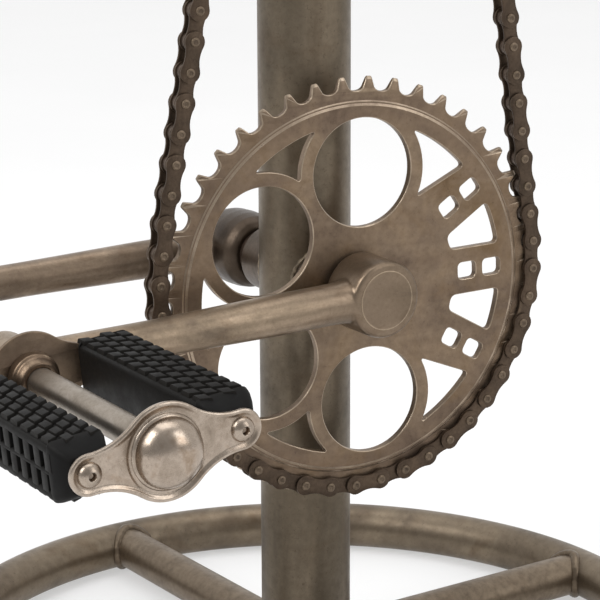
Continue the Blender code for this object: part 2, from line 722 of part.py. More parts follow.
def make_pedal(side, label, hub):
    def mirrored(profile):
        return [(side * t, r) for t, r in profile]

    def ring(name, outer, inner, low, high):
        tube(label + name, "nickel", outer, inner, side * low, side * high, 16, parent=hub)

    inner_face, outer_face = PEDAL_INNER_X + PLATE_THICKNESS, PEDAL_OUTER_X - PLATE_THICKNESS
    outline = dog_bone()
    rods = [circle(TIE_ROD_RADIUS + GAP, 8, (sign * LOBE_OFFSET, 0.0)) for sign in (-1, 1)]
    plate(label + "_pedal_inner_plate", "nickel", outline, rods + [circle(SLEEVE_BORE, 16)],
          side * PEDAL_INNER_X, side * inner_face, parent=hub)
    plate(label + "_pedal_outer_plate", "nickel", outline, rods,
          side * outer_face, side * PEDAL_OUTER_X, parent=hub)
    low, high = inner_face + GAP, outer_face - GAP
    ring("_pedal_sleeve", SLEEVE_RADIUS, SLEEVE_BORE, low, high)
    ring("_pedal_bush", SLEEVE_BORE - GAP, BUSH_BORE, low, high)
    ring("_pedal_collar", COLLAR_RADIUS, SLEEVE_BORE, PEDAL_INNER_X - GAP - COLLAR_LENGTH, PEDAL_INNER_X - GAP)
    width, height, chamfer = BLOCK_HALF_WIDTH, BLOCK_HALF_HEIGHT, BLOCK_CHAMFER
    corners = [(width, chamfer - height), (width, height - chamfer), (width - chamfer, height),
               (chamfer - width, height)]
    corners += [(-u, -v) for u, v in corners]
    head, foot = PEDAL_OUTER_X + GAP, PEDAL_INNER_X - GAP
    nut, nut_radius = TIE_ROD_NUT
    rod = [(foot - nut, 0.0), (foot - nut, nut_radius), (foot, nut_radius), (foot, TIE_ROD_RADIUS),
           (head, TIE_ROD_RADIUS)]
    rod += [(head + t, radius) for t, radius in RIVET_HEAD]
    for name, sign in (("front", -1), ("rear", 1)):
        block = [(sign * BLOCK_CENTRE + u, v) for u, v in corners]
        hole = circle(TIE_ROD_RADIUS + GAP, 8, (sign * LOBE_OFFSET, 0.0))
        plate(label + "_pedal_" + name + "_rubber", "rubber", block, [hole], side * low, side * high,
              parent=hub)
        turned(label + "_pedal_" + name + "_tie_rod", "nickel", mirrored(rod), 8,
               centre=(sign * LOBE_OFFSET, 0.0), parent=hub)
    steps = 6
    dome = [(head, 0.0)]
    for k in range(steps):
        turn = k / steps * math.pi / 2
        dome.append((head + CAP_HEIGHT * math.sin(turn), CAP_RADIUS * math.cos(turn)))
    dome.append((head + CAP_HEIGHT, 0.0))
    turned(label + "_pedal_dust_cap", "nickel", mirrored(dome), 16, parent=hub)


def make_spindle(side, label, hub):
    eye = ARM_X + EYE_HALF_WIDTH
    step = PEDAL_INNER_X - COLLAR_LENGTH - COLLAR_GAP
    end = PEDAL_OUTER_X - SPINDLE_END
    profile = [(ARM_X - EYE_HALF_WIDTH, 0.0), (ARM_X - EYE_HALF_WIDTH, SPINDLE_THREAD_RADIUS),
               (eye + GAP, SPINDLE_THREAD_RADIUS), (eye + GAP, FLANGE_RADIUS), (step, FLANGE_RADIUS),
               (step, SPINDLE_RADIUS), (end, SPINDLE_RADIUS), (end, 0.0)]
    turned(label + "_pedal_spindle", "nickel", [(side * t, r) for t, r in profile], 16, parent=hub)


# ---------------------------------------------------------------- seat

def make_post_head():
    flange = POST_TOP + GAP
    bore = SEAT_POST_RADIUS + GAP
    profile = [(BUSH_BOTTOM, bore), (BUSH_BOTTOM, POST_BORE - GAP), (flange, POST_BORE - GAP),
               (flange, POST_RADIUS), (flange + BUSH_FLANGE, POST_RADIUS), (flange + BUSH_FLANGE, bore)]
    turned("post_bush", "frame_steel", profile, 28, "Z", closed=True)
    make_collar()
    middle = sum(CLAMP_Z) / 2
    ear = EAR_HALF_WIDTH + GAP
    end = LEVER_X - SKEWER_END
    head, head_radius = SKEWER_HEAD
    skewer = [(-ear - head, 0.0), (-ear - head, head_radius), (-ear, head_radius), (-ear, SKEWER_RADIUS),
              (end, SKEWER_RADIUS), (end, 0.0)]
    turned("clamp_skewer", "nickel", skewer, 12, centre=(EAR_Y, middle))
    make_lever(empty("clamp_lever_axis", (LEVER_X, EAR_Y, middle)))


def make_collar():
    """Split clamp ring with two ears at the back of the post."""
    back = math.pi / 2
    shoulder = math.asin(EAR_HALF_WIDTH / CLAMP_RADIUS)
    inner = POST_RADIUS + GAP
    split = math.asin(SLIT / inner)
    ear = EAR_Y + EAR_HALF_HEIGHT
    outline = arc((0, 0), CLAMP_RADIUS, back + shoulder, back + math.tau - shoulder, 25)
    outline += [(EAR_HALF_WIDTH, ear), (SLIT, ear)]
    outline += arc((0, 0), inner, back + math.tau - split, back + split, 25)
    outline += [(-SLIT, ear), (-EAR_HALF_WIDTH, ear)]
    collar = plate("clamp_collar", "nickel", outline, [], *CLAMP_Z, axis="Z")
    radius = SKEWER_RADIUS + GAP
    reach = 2 * EAR_HALF_WIDTH
    hole = [(-reach, 0.0), (-reach, radius), (reach, radius), (reach, 0.0)]
    middle = sum(CLAMP_Z) / 2
    combine(collar, cutter("skewer_clearance", lambda bm: add_turned(bm, hole, 12, centre=(EAR_Y, middle))),
            "DIFFERENCE")


def make_lever(pivot):
    """Curved cam lever that wraps round the clamp; its origin is on its pivot."""
    centre = (-LEVER_X, -EAR_Y)
    low, high = LEVER_RADII
    end, outer_start, inner_start = LEVER_ANGLES
    outline = [*LEVER_CAM_BACK, *arc(centre, high, outer_start, end, 10)]
    outline += [*arc(centre, low, end, inner_start, 9), LEVER_CAM_FRONT]
    plate("clamp_lever", "nickel", outline, [], -LEVER_HALF_HEIGHT, LEVER_HALF_HEIGHT, axis="Z", parent=pivot)


def make_seat_post(hub):
    tube("seat_post", "frame_steel", SEAT_POST_RADIUS, SEAT_POST_BORE, SEAT_POST_BOTTOM, SEAT_POST_TOP, 24, "Z",
         parent=hub)
    profile = [(HEAD_BOTTOM, 0.0), (HEAD_BOTTOM, HEAD_RADIUS), (TILT_Z, HEAD_RADIUS), (TILT_Z, 0.0)]
    head = turned("saddle_clamp_head", "frame_steel", profile, 24, "Z", parent=hub)
    reach = CLAMP_FACE_X - GAP
    bore = SEAT_POST_RADIUS + GAP
    hole = TILT_BOLT_RADIUS + GAP

    def barrel(bm):
        outline = [(-reach, 0.0), (-reach, BARREL_RADIUS), (reach, BARREL_RADIUS), (reach, 0.0)]
        add_turned(bm, outline, 24, centre=(0.0, TILT_Z))

    def socket(bm):
        foot, top = HEAD_BOTTOM - CUT_MARGIN, SEAT_POST_TOP + GAP
        add_turned(bm, [(foot, 0.0), (foot, bore), (top, bore), (top, 0.0)], 24, "Z")

    def bolt_hole(bm):
        outline = [(-2 * reach, 0.0), (-2 * reach, hole), (2 * reach, hole), (2 * reach, 0.0)]
        add_turned(bm, outline, 12, centre=(0.0, TILT_Z))

    combine(head, cutter("barrel_shape", barrel, hub), "UNION")
    combine(head, cutter("seat_post_socket", socket, hub), "DIFFERENCE")
    combine(head, cutter("tilt_bolt_clearance", bolt_hole, hub), "DIFFERENCE")


def rail_points(sign):
    """Bent rail from the nose bracket through the clamp to the cantle plate, relative to the tilt bolt."""
    return [Vector((sign * x, y, RAIL_RISE + z)) for x, y, z in RAIL_ROUTE]


def saddle_surface(u, v):
    """Point of the leather's outer surface, relative to the tilt bolt: u nose to back, v side to side."""
    y = SADDLE_FRONT + (SADDLE_BACK - SADDLE_FRONT) * u
    flare = 1 / (1 + math.exp(-(u - FLARE_PLACE) * FLARE_SHARPNESS))
    nose = math.sin(min((u + 0.04) / NOSE_SHARE, 1.0) * math.pi / 2)
    tail = math.sin(min((1.05 - u) / TAIL_SHARE, 1.0) * math.pi / 2)
    half = (NOSE_HALF_WIDTH + NOSE_TAPER * u + FLARE_WIDTH * flare) * (0.35 + 0.65 * nose * tail)
    turn = v * SKIRT_TURN
    x = half * math.sin(turn) / math.sin(SKIRT_TURN) * (1 - 0.10 * abs(v) ** 6)
    skirt = (SKIRT_DEPTH - SIDE_DROP * flare) * (1 - math.cos(turn * 0.9)) + SIDE_DROP * flare * v * v
    back_end, front_end = max(0.0, (u - 0.86) / 0.14), max(0.0, (0.07 - u) / 0.07)
    ends = TAIL_DROP * back_end ** 2 + NOSE_DROP * front_end ** 2
    return Vector((x, y, SADDLE_RISE - SADDLE_DIP * math.sin(math.pi * u) - skirt - ends))


def make_saddle(hub):
    rows, columns = 16, 12
    bm = bmesh.new()
    grid = []
    for i in range(rows + 1):
        grid.append([bm.verts.new(saddle_surface(i / rows, 2 * j / columns - 1)) for j in range(columns + 1)])
    for i in range(rows):
        for j in range(columns):
            bm.faces.new((grid[i][j], grid[i][j + 1], grid[i + 1][j + 1], grid[i + 1][j]))
    leather = finish_mesh("saddle_leather", bm, "leather", hub, smooth=60.0)
    if leather.data.polygons[rows * columns // 2].normal.z < 0:
        leather.data.flip_normals()
    thick = leather.modifiers.new("leather", "SOLIDIFY")
    thick.thickness = LEATHER
    thick.offset = -1.0
    make_rails(hub)
    back = rail_points(1)[-1]
    centre = (0.0, back.y - CANTLE_DEPTH)
    inner, outer = CANTLE_RADII
    first, last = CANTLE_ANGLES
    outline = arc(centre, inner, first, last, 13) + arc(centre, outer, last, first, 13)
    low, high = (back.z + z for z in CANTLE_Z)
    plate("cantle_plate", "frame_steel", outline, [], low, high, axis="Z", parent=hub)
    front = rail_points(1)[0]
    width, height = BRACKET_HALF_WIDTH, BRACKET_HALF_HEIGHT
    near, far = (front.y + y for y in BRACKET_Y)
    bracket = [(-width, near), (width, near), (width, far), (-width, far)]
    plate("nose_bracket", "frame_steel", bracket, [], front.z - height, front.z + height, axis="Z", parent=hub)


def make_rails(hub):
    """Saddle rails, the plates that clamp them on each side of the seat post, and the tilt bolt."""
    hole = circle(TILT_BOLT_RADIUS + GAP, 12)
    head = RAIL_CLAMP_OUTER_X + GAP
    nut, nut_radius = TILT_NUT
    for label, sign in (("left", -1), ("right", 1)):
        bm = bmesh.new()
        add_sweep(bm, rail_points(sign), RAIL_RADIUS, 10)
        finish_mesh(label + "_rail", bm, "frame_steel", hub)
        clamp = plate(label + "_rail_clamp", "frame_steel", circle(HEAD_RADIUS, 24), [hole],
                      sign * CLAMP_FACE_X, sign * RAIL_CLAMP_OUTER_X, parent=hub)

        def groove(bm):
            ends = [Vector((sign * RAIL_X, y, RAIL_RISE)) for y in (-GROOVE_REACH, GROOVE_REACH)]
            add_sweep(bm, ends, RAIL_RADIUS + GAP, 10)

        combine(clamp, cutter(label + "_rail_groove", groove, hub), "DIFFERENCE")
        plate(label + "_tilt_nut", "nickel", circle(nut_radius, 6), [hole], sign * head, sign * (head + nut),
              parent=hub)
    end = head + TILT_BOLT_REACH
    bolt = [(-end, 0.0), (-end, TILT_BOLT_RADIUS), (end, TILT_BOLT_RADIUS), (end, 0.0)]
    turned("tilt_bolt", "nickel", bolt, 12, parent=hub)


def main():
    clear_scene()
    path = ChainPath(chain_distance())
    post_cut = post_clearance()
    make_base(post_cut)
    make_post()
    drive = empty("drive_plane", (CHAIN_X, 0, AXLE_Z), (0, 0, DRIVE_YAW))
    make_chainring(drive)
    make_chain(path, drive)
    make_upper_drive(path, post_cut, drive)
    make_axle()
    pedal_y = -CRANK_LENGTH * math.cos(CRANK_DROOP)
    pedal_z = AXLE_Z - CRANK_LENGTH * math.sin(CRANK_DROOP)
    for side, label, boss, shift in ((1, "right", RIGHT_BOSS, RIGHT_CRANK_SHIFT), (-1, "left", LEFT_BOSS, 0.0)):
        make_crank(side, label, boss, empty(label + "_crank_axis", (shift, 0, AXLE_Z), (CRANK_DROOP, 0, 0)))
        pedal_hub = empty(label + "_pedal_axis", (shift, pedal_y, pedal_z), (PEDAL_PITCH, 0, 0))
        make_spindle(side, label, pedal_hub)
        make_pedal(side, label, pedal_hub)
    make_post_head()
    make_seat_post(empty("seat_post_axis", (0, 0, 0)))
    make_saddle(empty("saddle_tilt_axis", (0, 0, TILT_Z)))


main()
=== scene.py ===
"""Looks of the unicycle-style bar stool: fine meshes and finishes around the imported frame."""
import json
import math
import random

import bmesh
import bpy
from mathutils import Matrix, Vector
from mathutils.geometry import tessellate_polygon


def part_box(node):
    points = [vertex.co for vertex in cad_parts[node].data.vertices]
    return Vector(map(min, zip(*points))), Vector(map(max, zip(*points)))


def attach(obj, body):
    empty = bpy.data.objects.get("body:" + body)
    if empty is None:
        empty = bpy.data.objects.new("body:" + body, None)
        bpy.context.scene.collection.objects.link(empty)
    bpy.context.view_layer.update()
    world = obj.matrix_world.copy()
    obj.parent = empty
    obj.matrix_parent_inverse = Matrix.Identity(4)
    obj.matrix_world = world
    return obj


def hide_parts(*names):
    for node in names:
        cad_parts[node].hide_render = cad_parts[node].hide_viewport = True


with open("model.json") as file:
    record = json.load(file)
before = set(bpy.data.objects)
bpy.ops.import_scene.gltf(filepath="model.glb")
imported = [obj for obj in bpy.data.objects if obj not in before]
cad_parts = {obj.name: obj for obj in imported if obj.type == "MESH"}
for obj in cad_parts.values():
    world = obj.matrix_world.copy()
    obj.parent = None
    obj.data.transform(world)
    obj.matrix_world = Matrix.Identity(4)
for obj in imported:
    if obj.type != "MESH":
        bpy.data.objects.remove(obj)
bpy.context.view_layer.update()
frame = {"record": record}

MM = 0.001

# The body of each CAD node
BODY_OF = {node: body for body, nodes in frame["record"]["behaviour"]["bodies"].items() for node in nodes}

# Base and post
BASE_RADIUS = 170.3 * MM
BASE_TUBE_RADIUS = 11.4 * MM
SPOKE_RADIUS = 10.1 * MM
SPOKE_TURN = math.radians(3.1)
POST_RADIUS = 20.55 * MM
POST_BORE = 18.4 * MM
POST_TOP = 625.5 * MM
AXLE_Z = 192.8 * MM
SHELL_RADIUS = 14.95 * MM
SHELL_HALF_LENGTH = 31.5 * MM
AXLE_BORE = 9.2 * MM

# Chain drive
PITCH = 12.7 * MM
CHAIN_LINKS = 88
CHAIN_X = 40.0 * MM
DRIVE_YAW = math.radians(-4.2)
RING_TEETH = 44
SPROCKET_TEETH = 18
BOLT_BORE = 5.3 * MM
RING_PHASE = math.radians(7.8)
RING_BACK = -1.4 * MM
RING_EDGE = 1.45 * MM
RING_FRONT = 2.3 * MM
RING_STEP_OUT = 82.4 * MM
RING_STEP_IN = 80.0 * MM

# How far the loose chain stands out in millimetres, by angle on the chainring and by share of each run
RING_LIFT = ((-188.5, 4.7), (-165.0, 1.9), (-130.0, 0.0), (-25.0, 0.0), (-8.0, 0.6), (8.5, 2.0))
REAR_LIFT = ((0.0, 4.7), (0.07, 5.1), (0.32, 1.7), (0.50, 0.0), (1.0, 0.0))
FRONT_LIFT = ((0.0, 2.0), (0.12, 2.1), (0.30, 2.8), (0.60, 1.4), (1.0, 0.0))
SEAT_DEPTH = 2.5 * MM
SEAT_WIDTH = 3.9 * MM
TOOTH_TIP = ((-1.55, 2.5), (-1.30, 3.2), (-0.90, 3.65), (0.90, 3.65), (1.30, 3.2), (1.55, 2.5))

# Chainring openings
RING_AXIS = math.radians(2.2)
FEATURE_STEP = math.radians(32.0)
HOLE_RADIUS = 23.8 * MM
HOLE_CENTRE_RADIUS = 51.3 * MM
RIM_INNER_RADIUS = 73.4 * MM
HUB_RADIUS = 49.5 * MM
WEB = 6.2 * MM
RING_SPOKE_HALF_WIDTH = 10.5 * MM
SLOT_RADII = (56.5 * MM, 69.2 * MM)

# Cranks
CRANK_LENGTH = 171.5 * MM
CRANK_DROOP = math.radians(1.6)
CRANK_SHIFT = {"right": -4.7 * MM, "left": 0.0}
ARM_X = 63.5 * MM
BOSS_OUTER_X = 71.3 * MM
EYE_RADIUS = 12.4 * MM
EYE_HALF_WIDTH = 8.0 * MM

# Pedals
PEDAL_PITCH = math.radians(6.0)
PEDAL_INNER_X = 81.2 * MM
PEDAL_OUTER_X = 193.2 * MM
PLATE_THICKNESS = 2.0 * MM
PLATE_DISC_RADIUS = 18 * MM
LOBE_RADIUS = 7.6 * MM
LOBE_OFFSET = 30 * MM
NECK_FILLET = 26 * MM
SLEEVE_RADIUS = 5.8 * MM
BLOCK_CENTRE = 29 * MM
BLOCK_HALF_WIDTH = 10.7 * MM
BLOCK_HALF_HEIGHT = 11.5 * MM
TREAD = 1.6 * MM
CAP_LENGTH = 10 * MM
STUD_SLANT = 0.45
STUD_COLUMNS = 11

# Sections of a rubber block's end: share of its length, then width, height and corner as shares of the block's
CAP_SECTIONS = ((0.0, 0.62, 0.56, 0.40), (0.05, 0.68, 0.62, 0.40), (0.4, 0.86, 0.80, 0.34),
                (0.72, 0.97, 0.93, 0.30), (0.94, 1.0, 0.985, 0.28), (1.0, 0.99, 0.96, 0.28))

# Saddle
TILT_Z = 670.5 * MM

# Camera
CAMERA_AZIMUTH = math.radians(58.464)
CAMERA_ELEVATION = math.radians(14.067)
CAMERA_ROLL = math.radians(-0.221)
CAMERA_PLACE = (0.84175, -0.51914, 0.42677)
CAMERA_LENS = 135.594


# ---------------------------------------------------------------- outlines

def polar(radius, angle):
    return Vector((radius * math.cos(angle), radius * math.sin(angle)))


def circle(radius, count, centre=(0.0, 0.0), start=0.0):
    return [Vector(centre) + polar(radius, start + math.tau * i / count) for i in range(count)]


def arc(centre, radius, start, stop, count):
    """Points of an arc, both ends included."""
    return [Vector(centre) + polar(radius, start + (stop - start) * i / (count - 1)) for i in range(count)]


def area(loop):
    return sum(a.cross(b) for a, b in zip(loop, loop[1:] + loop[:1])) / 2


def clean(loop):
    """The loop without points that lie on the one before."""
    return [p for i, p in enumerate(loop) if (p - loop[i - 1]).length > 1e-6]


def inset(loop, distance):
    """The loop moved to its left by a distance, with mitred corners."""
    moved = []
    for i, point in enumerate(loop):
        before = (point - loop[i - 1]).normalized()
        after = (loop[(i + 1) % len(loop)] - point).normalized()
        left = Vector((-before.y - after.y, before.x + after.x))
        if left.length < 1e-9:
            moved.append(point)
            continue
        left.normalize()
        grow = max(left.dot(Vector((-before.y, before.x))), 0.4)
        moved.append(point + left * (distance / grow))
    return moved


def soften(loop, radius, steps=5, limit=30.0):
    """Round every corner of a closed loop that turns by more than the limit, in degrees."""
    loop = clean(loop)
    count = len(loop)
    lengths = [(loop[(i + 1) % count] - loop[i]).length for i in range(count)]
    starts = [sum(lengths[:i]) for i in range(count)]
    total = sum(lengths)

    def at(s):
        s %= total
        i = max(k for k in range(count) if starts[k] <= s + 1e-12)
        return loop[i].lerp(loop[(i + 1) % count], (s - starts[i]) / lengths[i])

    def turn(i):
        before, after = loop[i] - loop[i - 1], loop[(i + 1) % count] - loop[i]
        return math.degrees(abs(before.angle_signed(after)))

    corners = [i for i in range(count) if turn(i) > limit]
    if not corners:
        return loop
    made = []
    for k, i in enumerate(corners):
        after = corners[(k + 1) % len(corners)]
        span = (starts[after] - starts[i]) % total or total
        gap_before = (starts[i] - starts[corners[k - 1]]) % total or total
        reach = min(radius, 0.45 * span, 0.45 * gap_before)
        first, last = at(starts[i] - reach), at(starts[i] + reach)
        for step in range(steps + 1):
            t = step / steps
            made.append(first * (1 - t) ** 2 + loop[i] * (2 * t * (1 - t)) + last * t ** 2)
        end = span - min(radius, 0.45 * span)
        j = (i + 1) % count
        while (starts[j] - starts[i]) % total < end - 1e-9 and j != after:
            if (starts[j] - starts[i]) % total > reach + 1e-9:
                made.append(loop[j])
            j = (j + 1) % count
    return clean(made)


# ---------------------------------------------------------------- mesh building

ALONG_X = Matrix(((0, 0, 1, 0), (1, 0, 0, 0), (0, 1, 0, 0), (0, 0, 0, 1)))    # (u, v, t) to (t, u, v)
ALONG_Z = Matrix.Identity(4)


def new_ring(bm, loop, height, at):
    return [bm.verts.new(at @ Vector((p.x, p.y, height))) for p in loop]


def bridge(bm, a, b):
    for i in range(len(a)):
        bm.faces.new((a[i - 1], a[i], b[i], b[i - 1]))


def bridge_all(bm, rings):
    for a, b in zip(rings, rings[1:]):
        bridge(bm, a, b)


def loft(bm, rings):
    """Closed body over rings of vertices, with flat ends."""
    bridge_all(bm, rings)
    bm.faces.new(rings[0])
    bm.faces.new(rings[-1])


def fill(bm, rings, loops):
    """Fill the flat area between rings of vertices, whose flat outlines are the loops."""
    corners = [vert for ring in rings for vert in ring]
    for tri in tessellate_polygon([[p.to_3d() for p in loop] for loop in loops]):
        bm.faces.new([corners[i] for i in tri])


def add_plate(bm, loops, low, high, bevel, at=ALONG_X, steps=2):
    """Plate with rounded edges between two heights; the first loop is its outline, the rest its holes."""
    turns = [k / steps * math.pi / 2 for k in range(steps + 1)]
    edges = [[(plane + side * bevel * (1 - math.cos(t)), bevel * (1 - math.sin(t))) for t in turns]
             for side, plane in ((1, low), (-1, high))]
    path = edges[0] + edges[1][::-1]
    bottom, top, shapes = [], [], []
    for number, loop in enumerate(loops):
        loop = clean(loop)
        if (area(loop) < 0) == (number == 0):
            loop.reverse()
        rings = [new_ring(bm, inset(loop, offset), height, at) for height, offset in path]
        bridge_all(bm, rings)
        bottom.append(rings[0])
        top.append(rings[-1])
        shapes.append(inset(loop, bevel))
    fill(bm, bottom, shapes)
    fill(bm, top, shapes)


def add_turned(bm, profile, count, at=ALONG_X, centre=(0.0, 0.0), closed=False):
    """Revolve (along, radius) points; a closed profile makes a ring."""
    rings = []
    for height, radius in profile:
        points = circle(radius, count if radius > 0 else 1, centre)
        rings.append(new_ring(bm, points, height, at))
    pairs = list(zip(rings, rings[1:]))
    if closed:
        pairs.append((rings[-1], rings[0]))
    for a, b in pairs:
        if len(a) == 1 and len(b) == 1:
            continue
        for i in range(count):
            corners = [a[(i - 1) % len(a)], a[i % len(a)], b[i % len(b)], b[(i - 1) % len(b)]]
            bm.faces.new(list(dict.fromkeys(corners)))


def round_profile(points, radius, steps=4):
    """An open profile with its inner corners rounded."""
    points = [Vector(p) for p in points]
    made = [points[0]]
    for before, here, after in zip(points, points[1:], points[2:]):
        reach = min(radius, 0.45 * (here - before).length, 0.45 * (after - here).length)
        first = here + (before - here).normalized() * reach
        last = here + (after - here).normalized() * reach
        for step in range(steps + 1):
            t = step / steps
            made.append(first * (1 - t) ** 2 + here * (2 * t * (1 - t)) + last * t ** 2)
    return made + [points[-1]]


def tube_profile(outer, inner, low, high, radius):
    """Closed profile of a tube with rounded ends."""
    loop = [Vector(p) for p in ((low, inner), (low, outer), (high, outer), (high, inner))]
    return soften(loop, radius, steps=4)


def smooth_path(points, steps=8):
    """Points of a smooth curve through the given ones."""
    points = [Vector(p) for p in points]
    points = [points[0] * 2 - points[1], *points, points[-1] * 2 - points[-2]]
    made = []
    for a, b, c, d in zip(points, points[1:], points[2:], points[3:]):
        for step in range(steps):
            t = step / steps
            made.append(0.5 * (2 * b + (c - a) * t + (2 * a - 5 * b + 4 * c - d) * t ** 2
                               + (3 * b - a - 3 * c + d) * t ** 3))
    return made + [points[-2]]


def add_sweep(bm, points, radius, count=16, closed=False):
    """Round bar along points; radius is a number or a function of the share of the length."""
    rings = []
    side = None
    total = len(points)
    for i, point in enumerate(points):
        if closed:
            ahead = points[(i + 1) % total] - points[i - 1]
        else:
            ahead = points[min(i + 1, total - 1)] - points[max(i - 1, 0)]
        ahead.normalize()
        side = ahead.orthogonal() if side is None else side
        side = (side - ahead * side.dot(ahead)).normalized()
        up = ahead.cross(side)
        size = radius(i / total) if callable(radius) else radius
        rings.append([bm.verts.new(point + side * p.x + up * p.y) for p in circle(size, count)])
    if not closed:
        loft(bm, rings)
        return
    bridge_all(bm, rings)
    gap = min(range(count), key=lambda k: (rings[0][k].co - rings[-1][0].co).length)
    bridge(bm, rings[-1], rings[0][gap:] + rings[0][:gap])


def in_mm(points, side=1):
    """Profile points given in millimetres, on the right (1) or the left (-1) side."""
    return [(side * a * MM, b * MM) for a, b in points]


def fresh(build, *shape, **settings):
    """A new mesh with one shape in it."""
    bm = bmesh.new()
    build(bm, *shape, **settings)
    return bm


def piece(name, bm, finish, node, extra=False, sharp=35.0, at=None, wear_and_highlight=None):
    """Make a named object from a bmesh, with the given finish, on the body of a CAD node.

    It stands for that node unless it is an extra. The wear and highlight finish, if any, is a lighter copy
    painted as a highlight on the faces that slope away from the X direction.
    """
    bmesh.ops.remove_doubles(bm, verts=bm.verts, dist=1e-7)
    bmesh.ops.recalc_face_normals(bm, faces=bm.faces)
    # Sloped faces take the lighter finish, a painted highlight on the bevels
    if wear_and_highlight:
        for face in bm.faces:
            face.material_index = int(0.25 < abs(face.normal.x) < 0.97)
    if at is not None:
        bmesh.ops.transform(bm, matrix=at, verts=bm.verts)
        if at.determinant() < 0:
            bmesh.ops.reverse_faces(bm, faces=bm.faces)
    mesh = bpy.data.meshes.new(name)
    bm.to_mesh(mesh)
    bm.free()
    mesh.shade_smooth()
    mesh.set_sharp_from_angle(angle=math.radians(sharp))
    mesh.materials.append(MATERIALS[finish])
    if wear_and_highlight:
        mesh.materials.append(MATERIALS[wear_and_highlight])
    obj = bpy.data.objects.new(name, mesh)
    bpy.context.scene.collection.objects.link(obj)
    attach(obj, BODY_OF[node])
    if not extra:
        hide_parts(node)
    return obj


# ---------------------------------------------------------------- materials

class Graph:
    """Short way to write a material's node tree."""

    def __init__(self, name):
        self.material = bpy.data.materials.new(name)
        self.material.use_nodes = True
        self.tree = self.material.node_tree
        self.shader = self.tree.nodes["Principled BSDF"]
        self.place = self.add("ShaderNodeTexCoord").outputs["Object"]

    def add(self, kind, inputs=None, **settings):
        made = self.tree.nodes.new(kind)
        for key, value in settings.items():
            setattr(made, key, value)
        for key, value in (inputs or {}).items():
            self.set(made.inputs[key], value)
        return made

    def set(self, socket, value):
        if isinstance(value, bpy.types.NodeSocket):
            self.tree.links.new(value, socket)
        elif isinstance(value, tuple) and len(value) == 3 and socket.type == "RGBA":
            socket.default_value = (*value, 1.0)
        else:
            socket.default_value = value

    def stretch(self, scale):
        return self.add("ShaderNodeMapping", {"Vector": self.place, "Scale": scale}).outputs["Vector"]

    def noise(self, scale, detail=4.0, roughness=0.55, vector=None, distortion=0.0):
        made = self.add("ShaderNodeTexNoise", {"Vector": vector or self.place, "Scale": scale, "Detail": detail,
                                               "Roughness": roughness, "Distortion": distortion})
        return made.outputs["Fac"]

    def ramp(self, value, stops):
        made = self.add("ShaderNodeValToRGB", {"Fac": value})
        elements = made.color_ramp.elements
        while len(elements) < len(stops):
            elements.new(0.5)
        for element, (place, colour) in zip(elements, stops):
            element.position = place
            element.color = (*colour, 1.0)
        return made.outputs["Color"]

    def spread(self, value, low, high, bottom, top):
        made = self.add("ShaderNodeMapRange", {"Value": value, "From Min": low, "From Max": high,
                                               "To Min": bottom, "To Max": top})
        return made.outputs["Result"]

    def mix(self, share, a, b, blend="MIX"):
        made = self.add("ShaderNodeMix", data_type="RGBA", blend_type=blend)
        self.set(made.inputs[0], share)
        self.set(made.inputs[6], a)
        self.set(made.inputs[7], b)
        return made.outputs[2]

    def math(self, operation, a, b=0.0):
        made = self.add("ShaderNodeMath", operation=operation)
        self.set(made.inputs[0], a)
        self.set(made.inputs[1], b)
        return made.outputs[0]

    def bump(self, height, distance, strength=1.0, normal=None):
        inputs = {"Height": height, "Distance": distance, "Strength": strength}
        if normal:
            inputs["Normal"] = normal
        return self.add("ShaderNodeBump", inputs).outputs["Normal"]

    def finish(self, colour, roughness, normal, **constants):
        self.set(self.shader.inputs["Base Color"], colour)
        self.set(self.shader.inputs["Roughness"], roughness)
        self.set(self.shader.inputs["Normal"], normal)
        for key, value in constants.items():
            self.shader.inputs[key.replace("_", " ")].default_value = value
        return self.material


def shade(red, green, blue):
    """Linear colour from display values of 0 to 255."""
    return tuple(((c / 255 + 0.055) / 1.055) ** 2.4 if c > 10 else c / 255 / 12.92 for c in (red, green, blue))


